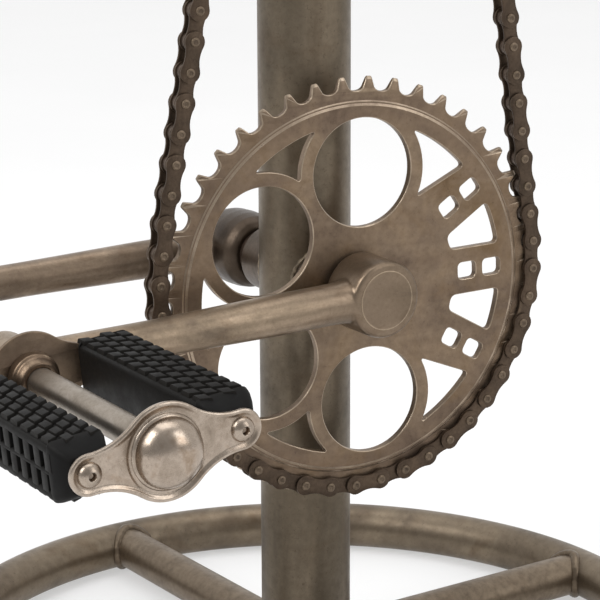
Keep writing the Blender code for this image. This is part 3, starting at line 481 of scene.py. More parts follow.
def aged_metal(name, tones, worn_and_lit_tone, metallic=0.85, rough=(0.34, 0.50), blotch=38.0, streak=(1.0, 1.0, 1.0),
               grain=0.00004, wear_and_highlight_share=0.6, stain=None, axle_darkening=None):
    """Metal with blotches, streaks and fine grain, worn bright along its edges, with a painted highlight there
    too.

    The stain and the axle darkening are each a colour and a share. The axle darkening makes the metal darker
    round the crank axle; on the left crank it is painted shade over the far boss.
    """
    g = Graph(name)
    white = (1.0, 1.0, 1.0)
    big = g.noise(blotch, 5.0, 0.6, g.stretch(streak), 0.4)
    stops = [(0.30 + 0.42 * i / (len(tones) - 1), shade(*tone)) for i, tone in enumerate(tones)]
    colour = g.ramp(big, stops)
    fine = g.noise(blotch * 9, 6.0, 0.7)
    colour = g.mix(0.55, colour, g.ramp(fine, [(0.30, (0.62, 0.60, 0.58)), (0.70, white)]), "MULTIPLY")
    specks = g.ramp(g.noise(blotch * 22, 3.0, 0.8), [(0.30, (0.45, 0.40, 0.36)), (0.42, white)])
    colour = g.mix(0.50, colour, specks, "MULTIPLY")
    if stain:
        tone, share = stain
        patches = g.noise(blotch * 0.55, 6.0, 0.7, g.stretch((1.0, 1.0, 1.4)), 1.2)
        colour = g.mix(g.spread(patches, 0.52, 0.72, 0.0, share), colour, shade(*tone))
    # Darker towards the crank axle; on the left crank this is painted shade over the far boss
    if axle_darkening:
        tone, share = axle_darkening
        along = g.add("ShaderNodeSeparateXYZ", {"Vector": g.place}).outputs["Y"]
        near = g.spread(along, -0.060, -0.014, 0.0, share)
        near = g.math("MULTIPLY", near, g.spread(big, 0.3, 0.7, 0.7, 1.1))
        colour = g.mix(near, colour, shade(*tone))
    # Brighter along edges: partly wear, partly a painted highlight of bevels catching the light
    edges = g.add("ShaderNodeNewGeometry").outputs["Pointiness"]
    wear_and_highlight = g.math("MULTIPLY", g.spread(edges, 0.515, 0.60, 0.0, wear_and_highlight_share), g.spread(fine, 0.30, 0.60, 0.45, 1.0))
    colour = g.mix(wear_and_highlight, colour, shade(*worn_and_lit_tone))
    roughness = g.spread(big, 0.30, 0.70, rough[1], rough[0])
    roughness = g.math("ADD", roughness, g.spread(fine, 0.3, 0.7, 0.05, -0.05))
    dents = g.bump(g.noise(blotch * 1.6, 3.0, 0.5), 0.00025, 0.5)
    normal = g.bump(g.noise(blotch * 30, 5.0, 0.75), grain, 1.0, dents)
    return g.finish(colour, roughness, normal, Metallic=metallic)


# Tones and the colour of worn, highlighted edges are display values, from the darkest blotches on
METALS = {
    "post": dict(tones=((84, 76, 66), (104, 94, 80), (118, 106, 90), (98, 84, 68)), worn_and_lit_tone=(176, 160, 138),
                 blotch=26.0, streak=(1.0, 1.0, 0.35), stain=((88, 68, 48), 0.35)),
    # Lighter copy of the spoke steel: painted light on the base ring
    "base": dict(tones=((96, 86, 75), (116, 104, 89), (130, 117, 100), (108, 93, 76)), worn_and_lit_tone=(180, 164, 142),
                 blotch=26.0, stain=((94, 74, 54), 0.35)),
    # Darker copy of the base ring's steel: painted shade on the spokes
    "spoke": dict(tones=((72, 63, 54), (90, 79, 67), (102, 90, 76), (84, 70, 56)), worn_and_lit_tone=(168, 150, 128),
                  blotch=30.0, stain=((78, 60, 43), 0.4)),
    # Darker copy of the post's steel: painted shade on the bottom bracket shell
    "shell": dict(tones=((62, 53, 46), (80, 69, 59), (92, 79, 67), (70, 56, 45)), worn_and_lit_tone=(150, 134, 114),
                  blotch=50.0, stain=((62, 48, 36), 0.4)),
    "right_arm": dict(tones=((118, 104, 89), (147, 130, 110), (167, 148, 127), (137, 116, 94)),
                      worn_and_lit_tone=(212, 192, 165), rough=(0.28, 0.44), blotch=60.0, streak=(1.0, 0.35, 1.0),
                      stain=((98, 76, 55), 0.5), axle_darkening=((82, 67, 54), 0.55)),
    # Darker copy of the right arm's steel: painted shade on the far crank, with strong painted shade round its
    # boss
    "left_arm": dict(tones=((100, 87, 75), (126, 110, 94), (144, 127, 109), (116, 98, 80)),
                     worn_and_lit_tone=(196, 177, 152), rough=(0.30, 0.46), blotch=60.0, streak=(1.0, 0.35, 1.0),
                     stain=((84, 64, 46), 0.5), axle_darkening=((50, 41, 34), 0.90)),
    "ring": dict(tones=((96, 80, 68), (116, 99, 84), (130, 111, 92), (112, 91, 68)), worn_and_lit_tone=(180, 160, 134),
                 rough=(0.36, 0.52), blotch=30.0, stain=((108, 84, 54), 0.45), wear_and_highlight_share=0.5, grain=0.00007),
    # Lighter copy of the ring steel for the sloped bevels and step: a painted highlight
    "ring_bevel_highlight": dict(tones=((136, 120, 104), (166, 149, 130), (188, 170, 150)), worn_and_lit_tone=(210, 194, 172),
                      rough=(0.26, 0.40), blotch=50.0),
    "chain": dict(tones=((58, 48, 40), (74, 61, 51), (88, 73, 60)), worn_and_lit_tone=(134, 116, 96), rough=(0.38, 0.55),
                  blotch=90.0, wear_and_highlight_share=0.45, stain=((42, 33, 27), 0.3)),
    "pin": dict(tones=((84, 72, 61), (106, 92, 78), (118, 103, 88)), worn_and_lit_tone=(156, 138, 116), rough=(0.32, 0.48),
                blotch=160.0),
    "roller": dict(tones=((58, 46, 40), (74, 60, 50), (90, 74, 62)), worn_and_lit_tone=(130, 112, 96), rough=(0.35, 0.50),
                   blotch=120.0),
    "nickel": dict(tones=((146, 132, 118), (166, 152, 138), (180, 166, 152), (152, 132, 112)),
                   worn_and_lit_tone=(236, 227, 215), metallic=1.0, rough=(0.18, 0.34), blotch=70.0, grain=0.00002,
                   wear_and_highlight_share=0.35, stain=((118, 96, 76), 0.35)),
    "sleeve": dict(tones=((137, 127, 115), (158, 148, 136), (172, 162, 151)), worn_and_lit_tone=(205, 196, 184),
                   metallic=0.95, rough=(0.30, 0.46), blotch=80.0, grain=0.00003, stain=((104, 86, 68), 0.3)),
    "bronze": dict(tones=((96, 80, 66), (120, 102, 85), (138, 120, 102)), worn_and_lit_tone=(196, 176, 150),
                   rough=(0.28, 0.42), blotch=120.0, stain=((80, 62, 44), 0.35)),
}


def moulded_rubber():
    g = Graph("moulded_rubber")
    dust = g.noise(120.0, 6.0, 0.7)
    colour = g.ramp(dust, [(0.30, shade(6, 6, 5)), (0.60, shade(10, 9, 9)), (0.80, shade(24, 22, 20))])
    fine = g.noise(1400.0, 4.0, 0.8)
    edges = g.add("ShaderNodeNewGeometry").outputs["Pointiness"]
    colour = g.mix(g.spread(edges, 0.52, 0.62, 0.0, 0.3), colour, shade(48, 45, 41))
    normal = g.bump(fine, 0.00005, 0.8)
    return g.finish(colour, g.spread(dust, 0.3, 0.7, 0.42, 0.66), normal, Metallic=0.0,
                    Specular_IOR_Level=0.12)


def saddle_leather_finish():
    g = Graph("saddle_leather")
    tone = g.noise(14.0, 6.0, 0.65, None, 0.6)
    colour = g.ramp(tone, [(0.30, shade(70, 42, 26)), (0.50, shade(98, 60, 36)), (0.72, shade(126, 80, 48))])
    cells = g.add("ShaderNodeTexVoronoi", {"Vector": g.place, "Scale": 620.0}, feature="DISTANCE_TO_EDGE")
    creases = g.spread(cells.outputs["Distance"], 0.0, 0.12, 0.0, 1.0)
    colour = g.mix(0.35, colour, g.mix(creases, (0.35, 0.30, 0.26), (1.0, 1.0, 1.0)), "MULTIPLY")
    wrinkles = g.noise(90.0, 5.0, 0.6, g.stretch((1.0, 0.5, 1.0)), 0.8)
    normal = g.bump(creases, 0.00012, 0.7, g.bump(wrinkles, 0.0006, 0.35))
    return g.finish(colour, g.spread(tone, 0.3, 0.7, 0.50, 0.36), normal, Metallic=0.0)


MATERIALS = {name: aged_metal(name, **settings) for name, settings in METALS.items()}
MATERIALS["rubber"] = moulded_rubber()
MATERIALS["leather"] = saddle_leather_finish()


# ---------------------------------------------------------------- base and post

def round_post(radius, count, z=0.0):
    """Where a tube along X, of that radius, meets the post's right side."""
    return [Vector((math.sqrt(POST_RADIUS ** 2 - p.x ** 2), p.x, z + p.y)) for p in circle(radius, count)]


def make_post():
    tube = tube_profile(POST_RADIUS, POST_BORE, 3.3 * MM, POST_TOP, 0.8 * MM)
    piece("post_tube", fresh(add_turned, tube, 128, ALONG_Z, closed=True), "post", "post")
    foot = in_mm([(0.0, 0.0), (0.0, 20.3), (3.0, 20.3), (3.0, 18.0), (15, 18.0), (15, 0.0)])
    piece("foot_plug", fresh(add_turned, round_profile(foot, 0.5 * MM), 96, ALONG_Z), "post", "post_plug")
    for side, label in ((1, "right"), (-1, "left")):
        points = [Vector((side * p.x, p.y, p.z)) for p in round_post(SHELL_RADIUS, 96, AXLE_Z)]
        weld = fresh(add_sweep, points, lambda s: (1.15 + 0.18 * math.sin(s * 160)) * MM, 10, closed=True)
        piece("shell_weld_" + label, weld, "post", "post", extra=True)


def make_base():
    section = circle(BASE_TUBE_RADIUS - 0.05 * MM, 40, (BASE_TUBE_RADIUS, BASE_RADIUS - 0.4 * MM))
    piece("ring_tube", fresh(add_turned, section, 240, ALONG_Z, closed=True), "base", "base_ring")
    rng = random.Random(4)
    low, high = 18 * MM, BASE_RADIUS - 4 * MM
    profile = [(low, 0.0), (low, SPOKE_RADIUS), (80 * MM, SPOKE_RADIUS), (high, SPOKE_RADIUS), (high, 0.0)]
    for label, angle in (("right", 0), ("back", 90), ("left", 180), ("front", 270)):
        turn = Matrix.Rotation(math.radians(angle) + SPOKE_TURN, 4, "Z")
        at = Matrix.Translation((0, 0, BASE_TUBE_RADIUS)) @ turn
        piece("base_spoke_" + label, fresh(add_turned, profile, 72), "spoke", "spoke_" + label, at=at)
        bm = bmesh.new()
        for inner in (True, False):
            points = []
            for y, z in circle(SPOKE_RADIUS, 72):
                x = math.sqrt(POST_RADIUS ** 2 - y ** 2)
                if not inner:
                    x = math.sqrt(BASE_RADIUS ** 2 - y ** 2) - math.sqrt(BASE_TUBE_RADIUS ** 2 - z ** 2)
                points.append(Vector((x, y * 0.95, z * 0.95)))
            ripple, start = rng.uniform(120, 150), rng.uniform(0, 6)
            add_sweep(bm, points, lambda s: (2.7 + 0.07 * math.sin(s * ripple + start)) * MM, 16, closed=True)
        for vert in bm.verts:
            vert.co.z = max(vert.co.z, -BASE_TUBE_RADIUS + 0.3 * MM)
        piece("spoke_welds_" + label, bm, "spoke", "base_ring", extra=True, at=at)


def make_axle_parts():
    at = Matrix.Translation((0, 0, AXLE_Z))
    shell = tube_profile(SHELL_RADIUS, AXLE_BORE, -SHELL_HALF_LENGTH, SHELL_HALF_LENGTH, 0.8 * MM)
    piece("axle_shell", fresh(add_turned, shell, 96, closed=True), "shell", "bottom_bracket_shell", at=at)
    for side, label, low, high in ((1, "right", 31.8, 37.4), (-1, "left", 31.8, 39.0)):
        spacer = tube_profile(11.4 * MM, AXLE_BORE, side * low * MM, side * high * MM, 0.5 * MM)
        piece("axle_spacer_" + label, fresh(add_turned, spacer, 64, closed=True), "roller",
              label + "_axle_spacer", at=at)
    bar = round_profile(in_mm([(-63.7, 0.0), (-63.7, 8.8), (59.0, 8.8), (59.0, 0.0)]), 0.5 * MM)
    piece("axle_bar", fresh(add_turned, bar, 64), "roller", "crank_axle", at=at)


# ---------------------------------------------------------------- chainring

def drive_place(height=0.0):
    """Middle of the chain's slightly skewed plane, at a height above the crank axle."""
    return Matrix.Translation((CHAIN_X, 0, AXLE_Z)) @ Matrix.Rotation(DRIVE_YAW, 4, "Z") @ Matrix.Translation(
        (0, 0, height))


def pitch_radius(teeth):
    return PITCH / (2 * math.sin(math.pi / teeth))


def toothed(teeth, seat_angle):
    """Outline with round roller seats, the first at seat_angle, and narrow teeth between them."""
    radius = pitch_radius(teeth)
    step = math.tau / teeth
    points = []
    for i in range(teeth):
        angle = seat_angle + i * step
        out, along = polar(1.0, angle), polar(1.0, angle + math.pi / 2)
        for k in range(-4, 5):
            turn = math.radians(17 * k)
            points.append(out * (radius - SEAT_DEPTH * math.cos(turn)) + along * (SEAT_WIDTH * math.sin(turn)))
        tip = angle + step / 2
        out, along = polar(1.0, tip), polar(1.0, tip + math.pi / 2)
        for across, height in TOOTH_TIP:
            points.append(out * (radius + height * MM) + along * (across * MM))
    return points


def web_arc(hole, first, last, count):
    """Arc round a large hole's centre, between the directions of two points."""
    centre = polar(HOLE_CENTRE_RADIUS, hole)
    a, b = first - centre, last - centre
    start = math.atan2(a.y, a.x)
    return arc(centre, HOLE_RADIUS + WEB, start, start + b.angle_signed(a), count)


def rim_turn():
    """Angle at the chainring's centre between a large hole and where its web meets the rim."""
    web = HOLE_RADIUS + WEB
    return math.acos((RIM_INNER_RADIUS ** 2 + HOLE_CENTRE_RADIUS ** 2 - web ** 2)
                     / (2 * RIM_INNER_RADIUS * HOLE_CENTRE_RADIUS))


def rim_window(angle):
    """Three-sided window at the rim, between two large holes."""
    web = HOLE_RADIUS + WEB
    reach = FEATURE_STEP - rim_turn()
    depth = HOLE_CENTRE_RADIUS * math.sin(FEATURE_STEP)
    tip = polar(HOLE_CENTRE_RADIUS * math.cos(FEATURE_STEP) + math.sqrt(web ** 2 - depth ** 2), angle)
    rim = arc((0, 0), RIM_INNER_RADIUS, angle - reach, angle + reach, 14)
    points = rim + web_arc(angle + FEATURE_STEP, rim[-1], tip, 12)
    points += web_arc(angle - FEATURE_STEP, tip, rim[0], 12)
    return soften(points, 2.2 * MM)


def spoke_side(spoke, side, radius):
    """Point on the edge of a slotted spoke, at a distance from the centre."""
    return polar(radius, spoke + side * math.asin(RING_SPOKE_HALF_WIDTH / radius))


def spoke_window(start, stop):
    """Window between two slotted spokes."""
    first, last = (math.asin(RING_SPOKE_HALF_WIDTH / r) for r in (RIM_INNER_RADIUS, HUB_RADIUS))
    points = arc((0, 0), RIM_INNER_RADIUS, start + first, stop - first, 14)
    points += arc((0, 0), HUB_RADIUS, stop - last, start + last, 6)
    return soften(points, 2.6 * MM)


def edge_window(spoke, hole, side):
    """Window between a slotted spoke and a large hole; side is +1 if the hole has the larger angle."""
    centre = polar(HOLE_CENTRE_RADIUS, hole)
    web = HOLE_RADIUS + WEB
    top = hole - side * rim_turn()
    rim_start = spoke + side * math.asin(RING_SPOKE_HALF_WIDTH / RIM_INNER_RADIUS)
    rim = arc((0, 0), RIM_INNER_RADIUS, rim_start, top, 12)
    foot = spoke_side(spoke, side, HUB_RADIUS)
    out = polar(1.0, spoke)
    back = foot - centre
    inside = back.dot(out) ** 2 - back.length_squared + web ** 2
    if inside > 0 and -back.dot(out) + math.sqrt(inside) > 0 and back.length < web:
        foot = foot + out * (-back.dot(out) + math.sqrt(inside))
    points = rim + web_arc(hole, rim[-1], foot, 14)
    return soften(points, 2.4 * MM)


def slot_hole(angle, radius):
    """Rounded rectangular hole on a slotted spoke's middle line."""
    out, along = polar(1.0, angle), polar(1.0, angle + math.pi / 2)
    corners = [(4.5, 3.8), (-4.5, 3.8), (-4.5, -3.8), (4.5, -3.8)]
    return soften([out * (radius + u * MM) + along * (v * MM) for u, v in corners], 2.4 * MM)


def ring_openings():
    spokes = [RING_AXIS + k * FEATURE_STEP for k in (-1, 0, 1)]
    large = [RING_AXIS + math.pi + k * FEATURE_STEP for k in (-3, -1, 1, 3)]
    holes = [circle(HOLE_RADIUS, 96, polar(HOLE_CENTRE_RADIUS, angle)) for angle in large]
    holes += [rim_window(RING_AXIS + math.pi + k * FEATURE_STEP) for k in (-2, 0, 2)]
    holes += [spoke_window(spokes[0], spokes[1]), spoke_window(spokes[1], spokes[2])]
    holes += [edge_window(spokes[2], large[0], 1), edge_window(spokes[0], large[3] - math.tau, -1)]
    holes += [slot_hole(angle, radius) for angle in spokes for radius in SLOT_RADII]
    return holes


def make_chainring():
    """Chainring: toothed edge, raised disc with a grooved step, and its openings, as one closed mesh."""
    bm = bmesh.new()
    edge = 0.42 * MM
    outline = clean(toothed(RING_TEETH, RING_PHASE))
    holes = [clean(hole) for hole in [circle(AXLE_BORE, 48), *ring_openings()]]
    for hole in holes:
        if area(hole) > 0:
            hole.reverse()

    def wall(loop, back, front):
        levels = [(back, edge), (back + edge * 0.35, edge * 0.35), (back + edge, 0.0), (front - edge, 0.0),
                  (front - edge * 0.35, edge * 0.35), (front, edge)]
        rings = [new_ring(bm, inset(loop, offset), height, ALONG_X) for height, offset in levels]
        bridge_all(bm, rings)
        return rings[0], rings[-1], inset(loop, edge)

    tooth_back, tooth_front, tooth_loop = wall(outline, RING_BACK, RING_EDGE)
    backs, fronts, loops = zip(*(wall(hole, RING_BACK, RING_FRONT) for hole in holes))
    middle = (RING_BACK + RING_EDGE) / 2
    thin = 90.4 * MM
    for vert in bm.verts:
        reach = math.hypot(vert.co.y, vert.co.z)
        if reach > thin:
            vert.co.x = middle + (vert.co.x - middle) * max(0.45, 1 - (reach - thin) / (3.6 * MM))
    steps = [(RING_STEP_OUT + r * MM, RING_EDGE + x * MM)
             for r, x in ((0.3, 0.0), (0.0, 0.06), (-0.6, 0.42), (-0.95, 0.40), (-1.15, 0.44))]
    steps += [(RING_STEP_IN + r * MM, RING_FRONT + x * MM)
              for r, x in ((0.5, -0.12), (0.15, -0.02), (-0.2, 0.0))]
    circles = [circle(radius, 192) for radius, _ in steps]
    rings = [new_ring(bm, loop, height, ALONG_X) for loop, (_, height) in zip(circles, steps)]
    bridge_all(bm, rings)
    fill(bm, [tooth_front, rings[0]], [tooth_loop, circles[0]])
    fill(bm, [rings[-1], *fronts], [circles[-1], *loops])
    fill(bm, [tooth_back, *backs], [tooth_loop, *loops])
    # The chainring's bevels and step get the lighter finish, a painted highlight
    piece("chainring_plate", bm, "ring", "chainring", sharp=28.0, at=drive_place(), wear_and_highlight="ring_bevel_highlight")


# ---------------------------------------------------------------- chain

def lift(profile, place):
    """Value at a place, read off a row of points."""
    for (a, low), (b, high) in zip(profile, profile[1:]):
        if place <= b:
            return (low + (high - low) * (place - a) / (b - a)) * MM
    return profile[-1][1] * MM


class ChainPath:
    """Closed path of the chain pins round the chainring and the upper sprocket, seen along X."""

    def __init__(self, distance):
        self.ring = pitch_radius(RING_TEETH)
        self.top = pitch_radius(SPROCKET_TEETH)
        self.distance = distance
        self.slope = math.asin((self.ring - self.top) / distance)
        run = distance * math.cos(self.slope)
        self.lengths = [self.ring * (RING_PHASE + math.pi + self.slope), run,
                        self.top * (math.pi - 2 * self.slope), run, self.ring * (self.slope - RING_PHASE)]
        self.total = sum(self.lengths)

    def point(self, s):
        s %= self.total
        number = 0
        while s > self.lengths[number]:
            s -= self.lengths[number]
            number += 1
        left, right = math.pi - self.slope, self.slope
        if number == 0:
            return self.on_ring(RING_PHASE - s / self.ring)
        if number == 2:
            return Vector((0, self.distance)) + polar(self.top, left - s / self.top)
        if number == 4:
            return self.on_ring(right - s / self.ring)
        share = s / self.lengths[number]
        if number == 1:
            return self.between(left, share) + polar(lift(REAR_LIFT, share), left)
        return self.between(right, 1 - share) + polar(lift(FRONT_LIFT, 1 - share), right)

    def on_ring(self, angle):
        return polar(self.ring + lift(RING_LIFT, math.degrees(angle)), angle)

    def between(self, angle, share):
        low = polar(self.ring, angle)
        return low.lerp(Vector((0, self.distance)) + polar(self.top, angle), share)

    def walk(self, chord):
        """Path positions of the pins, one chord apart."""
        places = [0.0]
        for _ in range(CHAIN_LINKS):
            here = self.point(places[-1])
            low, high = places[-1] + 0.85 * PITCH, places[-1] + 1.15 * PITCH
            for _ in range(30):
                middle = (low + high) / 2
                if (self.point(middle) - here).length < chord:
                    low = middle
                else:
                    high = middle
            places.append(low)
        return places

    def pins(self):
        low, high = 0.98 * PITCH, 1.02 * PITCH
        for _ in range(30):
            middle = (low + high) / 2
            if self.walk(middle)[-1] > self.total:
                high = middle
            else:
                low = middle
        return [self.point(s) for s in self.walk(low)[:-1]]


def link_outline():
    """Waisted outline of a chain plate, centred between its two pins."""
    end, waist, half = 4.45 * MM, 3.25 * MM, PITCH / 2
    hollow = (half ** 2 + waist ** 2 - end ** 2) / (2 * (end - waist))
    height = waist + hollow
    touch = math.atan2(height, half)
    right = arc((half, 0), end, -(math.pi - touch), math.pi - touch, 17)
    upper = arc((0, height), hollow, -touch, touch - math.pi, 7)[1:-1]
    left = [Vector((-p.x, p.y)) for p in reversed(right)]
    lower = [Vector((p.x, -p.y)) for p in reversed(upper)]
    return right + upper + left + lower


def make_chain(path):
    pins = path.pins()
    outline = link_outline()
    plates, inner_plates, heads, rollers = (bmesh.new() for _ in range(4))
    roller = round_profile(in_mm([(-1.6, 0.0), (-1.6, 3.85), (1.6, 3.85), (1.6, 0.0)]), 0.35 * MM, 3)
    head = [(1.5, 1.75), (3.9, 1.75), (4.0, 1.95), (4.45, 1.9), (4.75, 1.6), (4.85, 1.2), (4.78, 0.85),
            (4.55, 0.6), (4.5, 0.0)]
    rng = random.Random(11)
    for i, pin in enumerate(pins):
        after = pins[(i + 1) % len(pins)]
        middle, along = (pin + after) / 2, (after - pin).normalized()
        turn = math.atan2(along.y, along.x)
        link = Matrix.Translation((0, middle.x, middle.y)) @ Matrix.Rotation(turn, 4, "X") @ ALONG_X
        seat = Matrix.Translation((0, pin.x, pin.y)) @ ALONG_X
        near, far = (2.92, 4.02) if i % 2 else (1.72, 2.78)
        play = rng.uniform(-0.05, 0.05) * MM
        for side in (-1, 1):
            low, high = sorted((side * near * MM, side * far * MM))
            add_plate(plates if i % 2 else inner_plates, [outline], low + play, high + play, 0.22 * MM, link)
            add_turned(heads, in_mm(head, side), 20, seat)
        add_turned(rollers, roller, 28, seat)
    for name, bm, finish in (("chain_outer_plates", plates, "chain"),
                             ("chain_inner_plates", inner_plates, "chain"),
                             ("chain_rollers", rollers, "roller"), ("chain_pins", heads, "pin")):
        piece(name, bm, finish, "drive_chain", extra=bm is not plates, at=drive_place())


def make_upper_drive(path):
    at = drive_place(path.distance)
    first = next(s for s in path.walk(PITCH) if s > path.lengths[0] + path.lengths[1])
    seat = path.point(first) - Vector((0, path.distance))
    outline = toothed(SPROCKET_TEETH, math.atan2(seat.y, seat.x))
    holes = [circle(BOLT_BORE, 40)]
    holes += [circle(5.0 * MM, 32, polar(20 * MM, math.tau * k / 5)) for k in range(5)]
    sprocket = fresh(add_plate, [outline, *holes], -1.25 * MM, 1.25 * MM, 0.35 * MM)
    piece("small_sprocket", sprocket, "ring", "upper_sprocket", at=at)
    stub = in_mm([(-23, 0.0), (-23, 11.9), (-2.6, 11.9), (-1.6, 10.9), (-1.6, 0.0)])
    piece("sprocket_stub", fresh(add_turned, round_profile(stub, 0.6 * MM), 72), "post", "upper_stub", at=at)
    points = round_post(11.9 * MM, 72, AXLE_Z + path.distance)
    weld = fresh(add_sweep, points, lambda s: (1.6 + 0.22 * math.sin(s * 130)) * MM, 10, closed=True)
    piece("stub_weld", weld, "post", "upper_stub", extra=True)
    washer = fresh(add_plate, [circle(11.7 * MM, 48), circle(BOLT_BORE, 32)], 1.65 * MM, 3.05 * MM, 0.25 * MM)
    piece("stub_washer", washer, "chain", "sprocket_washer", at=at)
    bolt = fresh(add_plate, [soften(circle(8.4 * MM, 6), 0.8 * MM)], 3.45 * MM, 8.85 * MM, 0.8 * MM)
    shank = in_mm([(-13.9, 0.0), (-13.9, 4.9), (5, 4.9), (5, 0.0)])
    add_turned(bolt, round_profile(shank, 0.5 * MM), 32)
    piece("stub_bolt", bolt, "pin", "sprocket_bolt", at=at)


# ---------------------------------------------------------------- cranks

def crank_hub(label):
    return Matrix.Translation((CRANK_SHIFT[label], 0, AXLE_Z)) @ Matrix.Rotation(CRANK_DROOP, 4, "X")


def merged(name, shapes, voxel):
    """One closed skin over several overlapping shapes."""
    mesh = bpy.data.meshes.new(name)
    bm = bmesh.new()
    for build in shapes:
        build(bm)
    bmesh.ops.recalc_face_normals(bm, faces=bm.faces)
    bm.to_mesh(mesh)
    bm.free()
    obj = bpy.data.objects.new(name, mesh)
    bpy.context.scene.collection.objects.link(obj)
    remesh = obj.modifiers.new("skin", "REMESH")
    remesh.mode = "VOXEL"
    remesh.voxel_size = voxel
    bpy.context.view_layer.update()
    skin = bpy.data.meshes.new_from_object(obj.evaluated_get(bpy.context.evaluated_depsgraph_get()))
    bpy.data.objects.remove(obj, do_unlink=True)
    bm = bmesh.new()
    bm.from_mesh(skin)
    bpy.data.meshes.remove(skin)
    return bm


def relax(bm, weight, rounds):
    """Move each vertex towards the middle of its neighbours, by a share that depends on its place."""
    bm.verts.ensure_lookup_table()
    shares = [weight(vert.co) for vert in bm.verts]
    busy = [(i, [e.other_vert(v).index for e in v.link_edges]) for i, v in enumerate(bm.verts) if shares[i] > 0]
    places = [vert.co.copy() for vert in bm.verts]
    for _ in range(rounds):
        moved = []
        for i, others in busy:
            middle = sum((places[k] for k in others), Vector()) / len(others)
            moved.append(places[i].lerp(middle, shares[i]))
        for (i, _), place in zip(busy, moved):
            places[i] = place
    for vert, place in zip(bm.verts, places):
        vert.co = place


# A crank's arm, in millimetres: distance forward, distance from the middle, radius
ARM_STATIONS = ((-10, 61.6, 9.4), (-16, 61.8, 9.3), (-22, 62.1, 8.9), (-34, 62.5, 8.8), (-50, 62.7, 8.8),
                (-75, 63.1, 8.4), (-105, 63.5, 7.9), (-135, 63.5, 7.85), (-166, 63.5, 7.9))

# Profiles of the bosses, in millimetres: distance from the middle, radius
RIGHT_BOSS = ((48.6, 15.9), (49.4, 16.9), (68.9, 16.9), (70.7, 16.2), (71.25, 14.9))
LEFT_BOSS = ((39.3, 12.6), (41.5, 15.0), (44.5, 16.8), (50.0, 17.6), (56.0, 17.8), (64.0, 17.4), (68.5, 16.4),
             (71.2, 14.2))


def make_crank(side, label, boss):
    """Crank with a round arm that flares into its boss through a welded fillet."""
    def hub(bm):
        add_turned(bm, in_mm([(boss[0][0], 0.0), *boss, (boss[-1][0], 0.0)], side), 96)

    def arm(bm):
        route = smooth_path([(side * x * MM, y * MM, r * MM) for y, x, r in ARM_STATIONS], 5)
        loft(bm, [[bm.verts.new((x + p.x, y, p.y)) for p in circle(radius, 48)] for x, y, radius in route])

    def eye(bm):
        low, high = ARM_X - EYE_HALF_WIDTH, ARM_X + EYE_HALF_WIDTH
        profile = round_profile([(low, 0.0), (low, EYE_RADIUS), (high, EYE_RADIUS), (high, 0.0)], 0.8 * MM)
        add_turned(bm, [(side * t, r) for t, r in profile], 64, centre=(-CRANK_LENGTH, 0.0))

    def weight(place):
        near = abs(place.y + 16.5 * MM) < 6.0 * MM and abs(place.x) < BOSS_OUTER_X - 1.2 * MM
        far = abs(place.y + CRANK_LENGTH - EYE_RADIUS) < 4 * MM
        return 0.5 if near else 0.35 if far else 0.08

    bm = merged(label + "_crank_skin", [hub, arm, eye], (0.55) * MM)
    relax(bm, weight, 10)
    finish, at = label + "_arm", crank_hub(label)
    piece(label + "_crank_arm", bm, finish, label + "_crank", sharp=50.0, at=at)
    plug = [(70.2, 0.0), (70.2, 12.6), (71.35, 12.9), (71.45, 12.6), (71.42, 12.2), (71.3, 11.9), (71.32, 0.0)]
    piece(label + "_axle_end", fresh(add_turned, in_mm(plug, side), 96), finish, label + "_boss_plug", at=at)


# ---------------------------------------------------------------- pedals

def pedal_hub(label):
    y = -CRANK_LENGTH * math.cos(CRANK_DROOP)
    z = AXLE_Z - CRANK_LENGTH * math.sin(CRANK_DROOP)
    return Matrix.Translation((CRANK_SHIFT[label], y, z)) @ Matrix.Rotation(PEDAL_PITCH, 4, "X")


def dog_bone():
    """End plate outline: disc and two lobes joined by concave fillets."""
    disc, lobe = PLATE_DISC_RADIUS + NECK_FILLET, LOBE_RADIUS + NECK_FILLET
    y = (disc ** 2 - lobe ** 2 + LOBE_OFFSET ** 2) / (2 * LOBE_OFFSET)
    z = math.sqrt(disc ** 2 - y ** 2)
    on_disc, on_lobe = math.atan2(z, y), math.atan2(z, y - LOBE_OFFSET)
    quarter = arc((LOBE_OFFSET, 0.0), LOBE_RADIUS, 0.0, on_lobe, 12)
    quarter += arc((y, z), NECK_FILLET, on_lobe - math.pi, on_disc - math.pi, 10)[1:-1]
    quarter += arc((0.0, 0.0), PLATE_DISC_RADIUS, on_disc, math.pi / 2, 14)
    half = quarter + [Vector((-p.x, p.y)) for p in reversed(quarter[:-1])]
    return half + [Vector((p.x, -p.y)) for p in reversed(half[1:-1])]


def add_pressed_plate(bm, side, back, front, groove):
    """Stamped end plate: raised lip round the edge and a groove round the middle."""
    outline = dog_bone()
    levels = [(0.5, back), (0.1, back + 0.25 * MM), (0.0, back + 0.6 * MM), (0.0, front - 0.7 * MM),
              (0.15, front - 0.3 * MM), (0.55, front - 0.05 * MM), (0.95, front), (1.35, front - 0.08 * MM),
              (1.8, front - 0.35 * MM), (2.3, front - 0.62 * MM), (2.9, front - 0.70 * MM)]
    rings = [new_ring(bm, inset(outline, offset * MM), side * height, ALONG_X) for offset, height in levels]
    bridge_all(bm, rings)
    face = front - 0.70 * MM
    hub = SLEEVE_RADIUS - 1 * MM
    middle = [(groove - r * MM, face - x * MM) for r, x in (
        (0.0, 0.0), (0.4, 0.12), (0.9, 0.38), (1.5, 0.40), (1.9, 0.20), (2.2, 0.20))]
    middle += [(hub, face - 0.20 * MM), (hub, back)]
    dish = [new_ring(bm, circle(radius, 96), side * height, ALONG_X) for radius, height in middle]
    bridge_all(bm, dish)
    fill(bm, [rings[-1], dish[0]], [inset(outline, levels[-1][0] * MM), circle(groove, 96)])
    fill(bm, [rings[0], dish[-1]], [inset(outline, levels[0][0] * MM), circle(hub, 96)])


